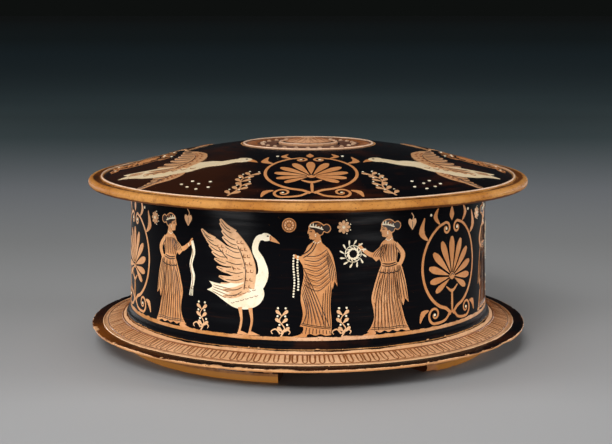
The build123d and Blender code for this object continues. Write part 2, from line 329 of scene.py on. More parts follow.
# gloss: bands of slip from a corner and mm past it to another; worn: corners where the slip is rubbed
def turnClay(name, outline, segments, gloss=(), worn=(), chips=(), closed=True, span=None, endShadeSlip=0.0):
    path, corners = roundedSection(outline, closed)
    path, kept = fineSection(path, closed)
    count = len(path)
    travel = [0.0]
    for index in range(1, count):
        travel.append(travel[-1] + (path[index] - path[index - 1]).length)
    cornerTravel = [travel[kept[c]] for c in corners]
    bands = [(cornerTravel[a] + da, cornerTravel[b] + db) for a, da, b, db in gloss]
    far = wheel["far"]
    glossEdge = [max([min(s - a, b - s) for a, b in bands] + [-far]) for s in travel]
    wearEdge = [min([abs(s - cornerTravel[c]) for c in worn] + [far]) for s in travel]
    first, turn = (0.0, math.tau) if span is None else (math.radians(span[0]), math.radians(span[1]))
    rings = segments if span is None else segments + 1
    verts = []
    values = []
    poles = {}
    ringIndex = []
    for k in range(rings):
        angle = first + turn * k / segments
        row = []
        for index, spot in enumerate(path):
            onAxis = spot.x < 1e-6
            if onAxis and index in poles:
                row.append(poles[index])
                continue
            r, z, chipDepth = spot.x, spot.y, 0.0
            for chip in chips:
                aside = (angle - math.radians(chip["angle"]) + math.pi) % math.tau - math.pi
                along = travel[index] - cornerTravel[chip["corner"]]
                reach = math.hypot(aside * r / chip["length"], along / chip["width"])
                if reach < 1:
                    ragged = 0.75 + 0.5 * noise.noise(Vector((aside * r * 0.8, z * 0.9, chip["angle"])))
                    chipDepth = max(chipDepth, chip["depth"] * (1 - reach ** 2) * ragged)
            if chipDepth:
                ahead = path[(index + 1) % count] - path[index - 1]
                inward = Vector((-ahead.y, ahead.x)).normalized()
                r, z = r + inward.x * chipDepth, z + inward.y * chipDepth
            r += wander(angle, z) * r / 100
            row.append(len(verts))
            if onAxis:
                poles[index] = len(verts)
            verts.append((r * math.cos(angle) * mm, r * math.sin(angle) * mm, z * mm))
            values.append((glossEdge[index], wearEdge[index], chipDepth))
        ringIndex.append(row)
    faces = []
    for k in range(segments):
        here, ahead = ringIndex[k], ringIndex[(k + 1) % rings]
        for index in range(count if closed else count - 1):
            after = (index + 1) % count
            corner = [here[index], ahead[index], ahead[after], here[after]]
            face = [v for side, v in enumerate(corner) if v != corner[side - 1]]
            if len(face) > 2:
                faces.append(face)
    sides = len(faces)
    if span is not None:
        faces.append(list(ringIndex[0]))
        faces.append(list(reversed(ringIndex[-1])))
    mesh = bpy.data.meshes.new(name)
    mesh.from_pydata(verts, [], faces)
    # end faces take their own slip value; the feet use it to paint shade on their cut ends
    ends = (endShadeSlip, far, 0.0)
    marks = [values[v] if number < sides else ends for number, face in enumerate(faces) for v in face]
    for column, label in enumerate(("glossEdge", "wearEdge", "chipDepth")):
        layer = mesh.attributes.new(label, "FLOAT", "CORNER")  # so that end faces keep their own slip
        layer.data.foreach_set("value", [mark[column] for mark in marks])
    return finishMesh(name, mesh)


def finishMesh(name, mesh):
    work = bmesh.new()
    work.from_mesh(mesh)
    bmesh.ops.recalc_face_normals(work, faces=work.faces)
    for edge in work.edges:
        edge.smooth = edge.calc_face_angle(0.0) < wheel["crease"]
    work.to_mesh(mesh)
    work.free()
    mesh.polygons.foreach_set("use_smooth", [True] * len(mesh.polygons))
    mesh.update()
    piece = bpy.data.objects.new(name, mesh)
    bpy.context.scene.collection.objects.link(piece)
    return piece


def settle(piece, body, material, slot, *nodes):  # one place for the material and every frame call
    piece.data.materials.clear()
    piece.data.materials.append(material)
    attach(piece, body)
    if nodes:
        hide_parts(*nodes)
    print("piece:", piece.name, len(piece.data.polygons), "faces")


def edgeChips(corner, count, seed, length=(1.0, 3.2), depth=(0.15, 0.5)):
    draw = random.Random(seed)
    return [dict(corner=corner, angle=draw.uniform(-180, 180), length=draw.uniform(*length),
                 width=draw.uniform(0.7, 1.6), depth=draw.uniform(*depth)) for _ in range(count)]


# base flange: a plate with an upright edge, a dark sloping band, a thin ridge and the tongue band

flangeLook = dict(
    opening=70.0, plate=4.0, rebate=94.55,
    edgeHeight=1.5, bandWidth=5.5, bandRise=0.1, ridgeWidth=1.0, ridgeRise=0.4,
    shoulderWidth=2.1, shoulderDrop=1.5,
    keyInner=87.35, keyOuter=91.65, keyDepth=1.2,  # groove that takes the feet
    bigChips=[  # corner, angle, length, width and depth
        (6, -164, 6.0, 2.2, 0.9),
        (5, -32, 7.0, 2.0, 0.8),
        (6, -96, 9.0, 1.6, 0.5),
        (6, -112, 5.0, 1.5, 0.5),
    ],
    slip=dict(clayLight=srgb(242, 190, 144), clayMain=srgb(228, 172, 124), clayDeep=srgb(182, 124, 80),
              chip=srgb(216, 162, 112), wear=0.43, brownShare=0.5, glossBrown=srgb(52, 22, 8),
              glossSheen=0.04, drift=1.5, wobble=0.4, edgeSoft=0.16, lowClay=srgb(184, 124, 72),
              lowTop=0.0110, patch=(-0.104, -0.046, 0.011, 0.030), patchColour=srgb(140, 78, 24)),
)


def makeFlange():
    look = flangeLook
    edgeTop = flangeFoot + look["edgeHeight"]
    ridgeOuter = flangeRadius - look["bandWidth"]
    ridgeInner = ridgeOuter - look["ridgeWidth"]
    ridgeFoot = edgeTop + look["bandRise"]
    outline = [
        (look["opening"], flangeFoot, 0.6),
        (look["keyInner"], flangeFoot, 0.2),
        (look["keyInner"], flangeFoot + look["keyDepth"], 0.2),
        (look["keyOuter"], flangeFoot + look["keyDepth"], 0.2),
        (look["keyOuter"], flangeFoot, 0.2),
        (flangeRadius, flangeFoot, 0.7),
        (flangeRadius, edgeTop, 0.7),
        (ridgeOuter, ridgeFoot, 0.3),
        (ridgeOuter - look["ridgeWidth"] / 2, ridgeFoot + look["ridgeRise"], 0.4),
        (ridgeInner, ridgeFoot, 0.3),
        (mouldingRadius + look["shoulderWidth"], flangeTop - look["shoulderDrop"], 0.6),
        (mouldingRadius, flangeTop, 0.4),
        (look["rebate"], flangeTop, 0.2),
        (look["rebate"], flangeFoot + look["plate"], 0.2),
        (look["opening"], flangeFoot + look["plate"], 0.4),
    ]
    chips = edgeChips(6, 26, 5) + edgeChips(5, 20, 6)
    for corner, angle, length, width, depth in look["bigChips"]:
        chips.append(dict(corner=corner, angle=angle, length=length, width=width, depth=depth))
    gloss = [(5, 1.1, 8, -0.1), (11, -0.5, 12, 0.0), (4, 5.4, 5, -1.0)]  # edge band, shoulder, and a dark ring under the overhang as painted shade
    piece = turnClay("baseFlange", outline, 720, gloss, worn=(5, 6, 8), chips=chips)
    settle(piece, "box", slipMaterial("flangeSlip", **look["slip"]), "orange_clay", "base_flange")


mouldingLook = dict(
    lip=1.2,  # height of the upright edge
    hollow=(0.26, 0.16),  # how far the slope above it sinks in and down
    slip=dict(wear=0.43, drift=0.5, wobble=0.3, edgeSoft=0.3, glossRoughness=0.46, glossSheen=0.02),
)


def makeMoulding():
    look = mouldingLook
    inner = flangeLook["rebate"]
    lip = mouldingFoot + look["lip"]
    sinkIn, sinkDown = look["hollow"]
    outline = [
        (inner, mouldingFoot, 0.1),
        (mouldingRadius, mouldingFoot, 0.2),
        (mouldingRadius, lip, 0.8),
        ((mouldingRadius + inner) / 2 - sinkIn, (lip + mouldingTop) / 2 - sinkDown, 1.2),
        (inner, mouldingTop, 0.3),
    ]
    chips = edgeChips(1, 54, 11, length=(0.5, 1.8), depth=(0.3, 0.6))
    piece = turnClay("baseMoulding", outline, 720, gloss=[(1, 0.35, 4, 0.2)], worn=(1,), chips=chips)
    settle(piece, "box", slipMaterial("mouldingSlip", **look["slip"]), "black_gloss", "base_moulding")


wallLook = dict(
    mouthRadius=93.0, bore=88.0, groundLine=1.6,
    slip=dict(wear=0.34, wobble=1.0, brownShare=0.68, clayLight=srgb(226, 176, 136), glossRoughness=0.14,
              glossSheen=0.05, relief=0.12),
)


def wallRadiusAt(height):
    t = (height - mouldingTop) / (wallTop - mouldingTop)
    return wallRadius + (wallLook["mouthRadius"] - wallRadius) * min(max(t, 0), 1)


def makeWall():
    look = wallLook
    outline = [
        (look["bore"], wallFoot, 0.2),
        (wallRadius, wallFoot, 0.2),
        (wallRadius, mouldingTop, 0.3),
        (look["mouthRadius"], wallTop, 1.3),
        (look["bore"], wallTop, 1.3),
    ]
    gloss = [(2, look["groundLine"], 3, -1.0), (4, 2.0, 4, 70.0)]  # outside and inside
    piece = turnClay("bodyWall", outline, 480, gloss, worn=(3, 4), chips=edgeChips(3, 12, 21))
    settle(piece, "box", slipMaterial("wallGloss", **look["slip"]), "black_gloss", "body_wall")


floorLook = dict(
    edge=(8.0, 0.25),  # width and drop of the rounded edge
    middle=0.1,  # drop in the middle
    rings=[(0.0, 3.0), (9.0, 11.0), (24.0, 29.0), (31.0, 32.0)],  # dark circles below, mm from the middle
    slip=dict(brownShare=0.56, glossRoughness=0.32),
)


def makeFloor():
    look = floorLook
    width, drop = look["edge"]
    outline = [
        (0, floorFoot, 0),
        (floorRadius, floorFoot, 0.2),
        (floorRadius, floorTop, 1.0),
        (floorRadius - width, floorTop - drop, 3.0),
        (0, floorTop - look["middle"], 0),
    ]
    gloss = [(2, -2.0, 4, 5.0)] + [(0, start, 0, end) for start, end in look["rings"]]
    piece = turnClay("floorDisc", outline, 320, gloss, closed=False)
    settle(piece, "box", slipMaterial("floorGloss", **look["slip"]), "black_gloss", "floor_disc")


footLook = dict(
    places=dict(foot_right=-53.5, foot_rear=66.5, foot_front_left=186.5),  # start of each, degrees from +X
    span=75.0, outer=97.0, inner=82.0, toeHeight=5.2, toeStep=1.3,
    keyGap=0.15,  # play of the key in its groove
    endShadeSlip=2.0,  # painted shade: the cut ends are darkened with slip
    # painted shade: the clay above lowTop is darkened for the flange's shadow on the foot, and the clay
    # below it is lighter
    slip=dict(clayLight=srgb(150, 100, 56), clayMain=srgb(130, 82, 42), clayDeep=srgb(92, 52, 24),
              glossBlack=srgb(42, 18, 7), glossBrown=srgb(54, 24, 10), chip=srgb(164, 108, 70), wobble=0.3,
              edgeSoft=0.3, lowClay=srgb(176, 114, 44), lowTop=0.0032),
)


def makeFeet():
    look = footLook
    neck = look["outer"] - look["toeStep"]
    keyOuter = flangeLook["keyOuter"] - look["keyGap"]
    keyInner = flangeLook["keyInner"] + look["keyGap"]
    clay = slipMaterial("footClay", **look["slip"])
    for node, start in look["places"].items():
        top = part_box(node)[1].z / mm
        outline = [
            (look["inner"], 0, 0.6),
            (look["outer"], 0, 0.9),
            (look["outer"], look["toeHeight"], 0.6),
            (neck, look["toeHeight"] + look["toeStep"], 0.5),
            (neck, flangeFoot, 0.1),
            (keyOuter, flangeFoot, 0.1),
            (keyOuter, top, 0.1),
            (keyInner, top, 0.1),
            (keyInner, flangeFoot, 0.1),
            (look["inner"], flangeFoot, 0.1),
        ]
        chips = edgeChips(1, 14, len(node)) + edgeChips(2, 8, len(node) + 3)
        for corner in (1, 2):  # worn front end
            chips.append(dict(corner=corner, angle=start + 1.2, length=5.5, width=3.5, depth=1.6))
        gloss = [(2, -0.7, 3, 0.4), (4, -1.3, 5, 0.0)]  # painted shade: a dark band in the step's crease, and a painted shadow on the top of the foot under the flange
        piece = turnClay(node.replace("_", ""), outline, 160, gloss, worn=(1, 2), chips=chips,
                         span=(start, look["span"]), endShadeSlip=look["endShadeSlip"])
        settle(piece, "box", clay, "orange_clay", node)


# lid: dome, rolled rim, seat ring and medallion

domeLook = dict(
    edgeHeight=88.3, rise=17.6, recess=34.95, crownBacking=2.7, step=2.2,
    runs=24,  # profile steps of the dome, over and under
    rings=[(26.0, 31.0), (33.0, 34.0), (80.0, 84.0), (95.0, 110.0)],  # dark circles below, mm from the edge
    slip=dict(glossSheen=0.08, brownShare=0.6, wobble=0.3, wear=0.4, glossBrown=srgb(66, 28, 12),
              patch=(-0.085, -0.07, 0.092, 0.062), patchColour=srgb(52, 24, 10)),
)


def capHeight(crown, rise, reach, radius):
    ball = (reach ** 2 + rise ** 2) / (2 * rise)
    return crown - ball + math.sqrt(ball ** 2 - radius ** 2)


def domeHeight(radius):
    look = domeLook
    return capHeight(look["edgeHeight"] + look["rise"], look["rise"], domeRadius, radius)


def domeUnder(radius):
    crown = medallionFoot - domeLook["crownBacking"]
    return capHeight(crown, crown - rimFoot, domeRadius - domeLook["step"], radius)


def makeDome():
    look = domeLook
    runs = look["runs"]
    step = domeRadius - look["step"]
    middle = (rimFoot + look["edgeHeight"]) / 2
    over = [look["recess"] + (domeRadius - look["recess"]) * k / runs for k in range(runs + 1)]
    under = [step * (1 - k / runs) for k in range(runs + 1)]
    outline = [(0, medallionFoot, 0), (look["recess"], medallionFoot, 0.2)]
    outline += [(r, domeHeight(r), 0) for r in over]
    outline += [(domeRadius, middle, 0.1), (step, middle, 0.1)]
    outline += [(r, domeUnder(r), 0) for r in under]
    crest, edge = 2, 2 + runs
    low = edge + 3
    gloss = [(crest, 0.6, edge, 0.6)] + [(low, start, low, end) for start, end in look["rings"]]
    piece = turnClay("lidDome", outline, 480, gloss, worn=(edge,), closed=False)
    settle(piece, "lid", slipMaterial("domeGloss", **look["slip"]), "black_gloss", "lid_dome")


rimLook = dict(
    grooveWidth=1.5, grooveDepth=0.8, ridgeRise=0.35, gap=0.15,
    overlap=0.12,  # closes the joint to the dome on top
    # the brown gloss here also carries the painted shade under the roll
    slip=dict(clayLight=srgb(200, 140, 72), clayMain=srgb(176, 112, 44), clayDeep=srgb(126, 72, 32),
              chip=srgb(196, 134, 74), speckShare=0.58, wear=0.44, wobble=0.8, drift=0.9, edgeSoft=0.3,
              glossBrown=srgb(104, 56, 18), brownShare=0.4, glossRoughness=0.4),
)


def makeRim():
    look = rimLook
    topInner = domeRadius + look["gap"] - look["overlap"]
    stepInner = domeRadius - domeLook["step"] + look["gap"]
    top = rimTop - look["ridgeRise"]
    middle = (rimFoot + top) / 2
    ridge = domeRadius + look["gap"] + look["grooveWidth"] / 2
    groove = ridge + look["grooveWidth"]
    roll = (top - rimFoot) / 2
    rollMiddle = rimRadius - roll
    turns = [math.pi * k / 12 for k in range(13)]
    arc = [(rollMiddle + roll * math.sin(a), middle - roll * math.cos(a), 0) for a in turns]
    outline = [(stepInner, rimFoot, 0.2)] + arc + [
        (groove, top - look["grooveDepth"], 0.5),
        (ridge, rimTop, 0.5),
        (topInner, top, 0.1),
        (topInner, middle, 0.1),
        (stepInner, middle, 0.1),
    ]
    grooveCorner = 1 + len(arc)
    chips = edgeChips(7, 18, 31, length=(0.8, 2.0), depth=(0.1, 0.3))
    gloss = [(grooveCorner, -2.7, grooveCorner, 0.6), (0, 0.0, 5, 0.1)]  # groove line, and painted shade on the underside of the roll
    piece = turnClay("lidRim", outline, 720, gloss, worn=(grooveCorner,), chips=chips)
    settle(piece, "lid", slipMaterial("rimClay", **look["slip"]), "orange_clay", "lid_rim")


seatLook = dict(mouth=86.0, collarOuter=87.2, collarInner=83.0, gap=0.15, slip=dict(wear=0.42))


def makeSeat():
    look = seatLook
    tops = [seatRadius + (look["collarInner"] - seatRadius) * k / 6 for k in range(7)]
    outline = [(look["collarOuter"], look["mouth"], 0.4), (seatRadius, look["mouth"], 0.2)]
    outline += [(r, domeUnder(r) - look["gap"], 0) for r in tops]
    outline += [(look["collarInner"], collarFoot, 1.2), (look["collarOuter"], collarFoot, 1.2)]
    chips = edgeChips(10, 12, 41)
    piece = turnClay("lidSeat", outline, 360, gloss=[(8, 2.0, 10, -0.5)], worn=(9, 10), chips=chips)
    settle(piece, "lid", slipMaterial("seatClay", **look["slip"]), "orange_clay", "lid_flange")


def bead(radius, width, foot, rise):  # half round ring, from its outer edge inwards
    return [(radius - width * k / 8, foot + rise * math.sin(math.pi * k / 8), 0) for k in range(9)]


medallionLook = dict(
    field=1.1, ringWidth=1.9,
    lines=(1.0, 1.2, 0.4),  # dark lines: inside the ring, then both edges of the one round the boss
    slip=dict(clayLight=srgb(126, 86, 66), clayMain=srgb(96, 60, 44), clayDeep=srgb(70, 40, 28), wear=0.44),
)


def makeMedallion():
    look = medallionLook
    field = medallionFoot + look["field"]
    ring = bead(medallionRadius, look["ringWidth"], field, medallionTop - field)
    ringLine, outerLine, innerLine = look["lines"]
    outline = [(0, medallionFoot, 0), (medallionRadius, medallionFoot, 0.1)] + ring + [
        (medallionRadius - look["ringWidth"] - ringLine, field, 0),
        (bossRadius + outerLine, field, 0),
        (bossRadius + innerLine, field, 0),
        (0, field, 0),
    ]
    flat = 2 + len(ring)
    gloss = [(flat, -0.3, flat, 0.3), (flat + 1, 0.0, flat + 2, 0.2)]
    piece = turnClay("medallionDisc", outline, 320, gloss, worn=(6,), closed=False)
    settle(piece, "lid", slipMaterial("medallionClay", **look["slip"]), "orange_clay", "medallion_disc")


bossLook = dict(
    edge=0.8, ringWidth=1.5, ringRise=0.35,
    slip=dict(clayLight=srgb(222, 168, 126), clayMain=srgb(202, 148, 108), clayDeep=srgb(150, 100, 68),
              glossBlack=srgb(92, 54, 34), glossBrown=srgb(108, 66, 42), wear=0.44),
)


def bossHeight(radius):
    look = bossLook
    return capHeight(bossTop, bossTop - bossFoot - look["edge"], bossRadius - look["ringWidth"], radius)


def makeBoss():
    look = bossLook
    inner = bossRadius - look["ringWidth"]
    ring = bead(bossRadius, look["ringWidth"], bossFoot + look["edge"], look["ringRise"])
    dome = [(inner * (1 - k / 10), bossHeight(inner * (1 - k / 10)), 0) for k in range(1, 11)]
    outline = [(0, bossFoot, 0), (bossRadius, bossFoot, 0.1)] + ring + dome
    piece = turnClay("medallionBoss", outline, 240, gloss=[(10, 0.3, 10, 2.0)], worn=(6,), closed=False)
    settle(piece, "lid", slipMaterial("bossClay", **look["slip"]), "orange_clay", "medallion_boss")


makeFlange()
makeMoulding()
makeWall()
makeFloor()
makeFeet()
makeDome()
makeRim()
makeSeat()
makeMedallion()
makeBoss()
print("clay turned")


# flat drawing tools: motifs are in millimetres, x to the right and y up from the ground line

def curvePoint(before, a, b, after, t):  # on the smooth curve from a to b, for one axis
    return 0.5 * (2 * a + (b - before) * t
                  + (2 * before - 5 * a + 4 * b - after) * t ** 2
                  + (3 * a - before - 3 * b + after) * t ** 3)


def flow(points, closed=False, steps=5):  # smooth line; a point's third value marks a sharp corner
    count = len(points)
    flat = [p[:2] for p in points]
    sharp = [len(p) > 2 for p in points]
    line = []
    for i in range(count if closed else count - 1):
        a, b = flat[i], flat[(i + 1) % count]
        before = flat[i - 1] if (closed or i > 0) and not sharp[i] else a
        after = flat[(i + 2) % count] if (closed or i + 2 < count) and not sharp[(i + 1) % count] else b
        for k in range(steps):
            t = k / steps
            line.append(tuple(curvePoint(before[d], a[d], b[d], after[d], t) for d in (0, 1)))
    if not closed:
        line.append(flat[-1])
    return line


def loop(points, steps=5):  # smooth closed outline
    return flow(points, True, steps)


def strand(points, widths, steps=5):  # outline of a limb, neck or tendril that has its own widths
    middle = flow(points, steps=steps)
    count = len(middle) - 1
    left, right = [], []
    for i, (x, y) in enumerate(middle):
        ax, ay = middle[max(i - 1, 0)]
        bx, by = middle[min(i + 1, count)]
        size = math.hypot(bx - ax, by - ay) or 1.0
        spot = i / count * (len(widths) - 1)
        low = min(int(spot), len(widths) - 2)
        half = (widths[low] + (widths[low + 1] - widths[low]) * (spot - low)) / 2
        left.append((x - (by - ay) / size * half, y + (bx - ax) / size * half))
        right.append((x + (by - ay) / size * half, y - (bx - ax) / size * half))
    return left + right[::-1]


def grown(outline, margin):  # the same outline, a little larger all round
    ahead = outline[1:] + outline[:1]
    area = sum(a[0] * b[1] - b[0] * a[1] for a, b in zip(outline, ahead))
    out = []
    for (ax, ay), (x, y), (bx, by) in zip(outline[-1:] + outline[:-1], outline, ahead):
        size = math.copysign(math.hypot(bx - ax, by - ay) or 1.0, area)
        out.append((x + (by - ay) / size * margin, y - (bx - ax) / size * margin))
    return out


def fill(paint, outline):
    return dict(paint=paint, fill=outline)


def stroke(paint, points, width=0.34):
    return dict(paint=paint, stroke=flow(points), width=width)


def dots(points, size):
    return dict(paint="white", dots=[(x, y, size) for x, y in points])


def between(a, b, t):
    return tuple(p + (q - p) * t for p, q in zip(a, b))


def folds(count, top, middle, hem, width, paint="line"):  # lines spread evenly between two edges of cloth
    steps = [k / (count - 1) for k in range(count)]
    return [stroke(paint, [between(*top, t), between(*middle, t), between(*hem, t)], width) for t in steps]


def place(shapes, x=0.0, y=0.0, scale=1.0, flip=False, turn=0.0):
    c, s = math.cos(math.radians(turn)) * scale, math.sin(math.radians(turn)) * scale
    side = -1 if flip else 1

    def move(spot):
        across, up, *rest = spot
        return (x + across * side * c - up * s, y + across * side * s + up * c, *rest)

    moved = []
    for shape in shapes:
        kind = next(k for k in ("fill", "stroke", "dots") if k in shape)
        moved.append({**shape, kind: [move(spot) for spot in shape[kind]]})
    return moved


# head in profile, looking right, with a dark knot of hair and a white fillet

def drawHead(x, y):
    face = loop([(0.9, 0.3), (2.2, 0.35), (3.1, 0.65), (3.45, 1.25), (3.3, 1.75), (3.6, 2.05), (3.4, 2.3),
                 (3.7, 2.6), (3.55, 2.95), (4.4, 3.25, 1), (4.05, 4.3), (3.8, 5.3), (3.5, 6.5), (2.7, 7.7),
                 (1.1, 8.6), (-0.9, 8.6), (-2.7, 7.5), (-3.4, 5.6), (-3.0, 3.6), (-1.8, 2.0), (-1.4, 0.2)],
                steps=4)
    hair = loop([(3.35, 6.2), (2.7, 7.4), (1.1, 8.3), (-0.9, 8.3), (-2.6, 7.3), (-3.3, 6.7), (-4.7, 7.3),
                 (-6.1, 6.3), (-6.2, 4.8), (-4.9, 3.8), (-3.3, 4.3), (-2.5, 2.9), (-1.4, 2.7), (-0.4, 3.6),
                 (0.5, 3.5), (0.9, 4.5), (1.8, 5.1), (2.7, 5.4)], steps=4)
    neck = strand([(-0.8, -2.2), (-0.4, 0.4), (0.2, 2.6)], [4.0, 3.2, 3.0])
    shapes = [fill("clay", neck), fill("clay", grown(hair, 0.45)), fill("clay", face), fill("hair", hair)]
    for k in range(5):  # waves of the hair
        shapes.append(stroke("dilute", [(2.6 - k * 0.5, 5.7 + k * 0.35), (0.6 - k * 0.5, 6.2 + k * 0.42),
                                        (-2.0, 5.0 + k * 0.55)], 0.22))
    shapes.append(stroke("white", [(3.5, 6.5), (1.6, 6.4), (-0.8, 5.9), (-3.2, 5.0)], 0.5))
    for k in range(5):  # leaves of the fillet
        bx, by = between((3.0, 6.5), (-2.2, 5.5), k / 4)
        shapes.append(stroke("white", [(bx, by), (bx - 0.2, by + 1.3 + 0.5 * math.sin(k * 1.4))], 0.4))
    shapes.append(stroke("line", [(2.05, 4.0), (2.7, 4.3), (3.3, 4.1)], 0.2))  # eye
    shapes.append(stroke("line", [(2.2, 3.85), (3.2, 3.9)], 0.14))
    shapes.append(stroke("line", [(1.9, 4.9), (2.8, 5.15), (3.6, 4.9)], 0.16))  # brow
    shapes.append(stroke("line", [(2.9, 2.25), (3.4, 2.3)], 0.14))  # mouth
    shapes.append(stroke("line", [(0.4, 0.6), (1.6, 0.3), (2.6, 0.5)], 0.14))  # jaw
    shapes.append(dots([(0.5, 2.7), (0.5, 1.9)], 0.34))  # ear drop
    necklace = [(-1.7, -0.4), (-1.0, -1.0), (-0.2, -1.3), (0.6, -1.2), (1.3, -0.7)]
    shapes.append(dots(necklace, 0.3))
    return place(shapes, x, y)


# standing figure in a belted dress, looking right, one arm held out

def drawDress(gift):
    body = loop([(1.4, 45.2), (3.4, 43.7), (4.7, 41.0), (5.3, 38.5), (4.6, 36.1), (3.6, 33.7), (4.6, 31.0),
                 (6.0, 27.2), (7.5, 22.4), (8.6, 17.2), (7.7, 12.4), (7.3, 8.2), (8.8, 4.0), (10.8, 1.5, 1),
                 (8.4, 1.0), (6.4, 1.7), (4.2, 0.8), (2.0, 1.6), (-0.2, 0.7), (-2.4, 1.5), (-4.8, 0.6),
                 (-7.2, 1.3), (-9.6, 0.4), (-12.0, 0.4, 1), (-9.9, 4.2), (-8.1, 9.6), (-7.1, 15.6),
                 (-7.0, 21.6), (-7.3, 26.4), (-6.3, 30.4), (-4.6, 33.8), (-5.0, 37.4), (-5.3, 40.6),
                 (-4.5, 43.2), (-2.4, 44.8), (-1.5, 46.0), (0.6, 46.2)])
    foot = loop([(6.6, 1.4), (8.6, 1.7), (10.6, 0.9), (12.4, 0.35), (12.2, 0.0), (7.0, 0.0)])
    rearArm = strand([(-3.8, 42.4), (-8.0, 37.6), (-6.2, 32.6), (-4.6, 31.6)], [3.2, 2.5, 1.9, 1.6])
    bundle = loop([(-6.6, 33.2), (-4.4, 32.8), (-4.2, 24.0), (-5.4, 15.0, 1), (-6.6, 17.4, 1),
                   (-8.2, 12.8, 1), (-9.2, 16.2, 1), (-11.2, 14.2, 1), (-10.2, 21.0), (-8.6, 28.0)])
    sleeve = loop([(0.4, 43.8), (3.4, 42.4), (7.4, 39.4), (8.0, 36.8, 1), (6.2, 35.0, 1), (4.0, 36.6),
                   (1.4, 38.6)])
    foreArm = strand([(5.8, 37.8), (9.4, 38.6), (12.8, 41.0), (15.2, 42.4)], [2.6, 2.2, 1.7, 1.3])
    thumb = strand([(13.2, 41.6), (14.2, 43.2), (14.9, 43.9)], [1.0, 0.8, 0.6])
    shapes = [fill("clay", outline) for outline in (foot, body, rearArm, bundle, foreArm, thumb, sleeve)]
    shapes += drawHead(-0.2, 46.0)
    for k in range(11):  # long folds of the skirt
        top = between((-3.9, 32.0), (3.5, 32.2), k / 10)
        middle = between((-6.2, 17.0), (7.6, 17.0), k / 10)
        hem = between((-10.4, 1.6), (9.0, 2.0), k / 10)
        start = top if k % 3 else between(top, middle, 0.35)
        shapes.append(stroke("line", [start, middle, hem], 0.3 if k % 2 else 0.24))
    for k in range(10):  # thinner pleats between them
        high = 20.0 - 5.0 * math.sin(k * 2.3) ** 2
        start = between((-5.6, high), (7.0, high), k / 9)
        shapes.append(stroke("dilute", [start, between((-7.0, 10.0), (6.4, 10.0), k / 9),
                                        between((-9.2, 3.2), (7.8, 3.4), k / 9)], 0.2))
    shapes += folds(7, ((-3.9, 43.0), (2.8, 43.2)), ((-4.6, 38.6), (4.2, 38.8)),
                    ((-4.2, 34.6), (3.2, 34.6)), 0.24)
    shapes += folds(5, ((0.9, 43.2), (3.2, 42.2)), ((2.0, 39.0), (6.6, 39.4)), ((4.2, 36.8), (7.7, 37.4)),
                    0.22)
    shapes += folds(4, ((-6.2, 32.4), (-4.7, 32.4)), ((-8.8, 24.0), (-4.7, 23.0)),
                    ((-10.6, 15.4), (-5.6, 16.2)), 0.28)
    shapes.append(stroke("line", [(-4.7, 34.2), (-0.6, 33.3), (3.7, 34.0)], 0.42))  # belt
    shapes.append(stroke("line", [(-4.9, 33.2), (-0.6, 32.3), (3.8, 33.0)], 0.42))
    pouch = [(-5.8 + 1.05 * k, 30.2 - 0.9 * math.sin(math.pi * k / 10) - 0.5 * (k % 2)) for k in range(11)]
    shapes.append(stroke("line", pouch, 0.34))
    shapes.append(stroke("line", [(-3.9, 41.6), (-6.6, 37.6), (-5.2, 33.4)], 0.28))
    for lift in (2.3, 3.1):  # woven border
        border = [(-10.9, lift - 0.3), (-6.0, lift + 0.1), (-1.0, lift - 0.2), (4.0, lift + 0.2),
                  (9.3, lift + 0.4)]
        shapes.append(stroke("line", border, 0.26))
    shapes.append(stroke("white", [(12.1, 41.4), (12.4, 40.8), (12.9, 39.9)], 0.34))  # bangle
    shapes += folds(8, ((-3.4, 31.0), (3.0, 31.0)), ((-5.0, 25.0), (5.6, 25.0)),
                    ((-5.9, 18.6), (7.2, 18.6)), 0.16, "dilute")
    shapes += folds(6, ((-3.4, 42.6), (2.2, 42.8)), ((-4.2, 39.6), (3.4, 39.8)),
                    ((-4.0, 36.4), (3.2, 36.4)), 0.16, "dilute")
    return shapes + drawGift(gift, 14.6, 42.4)


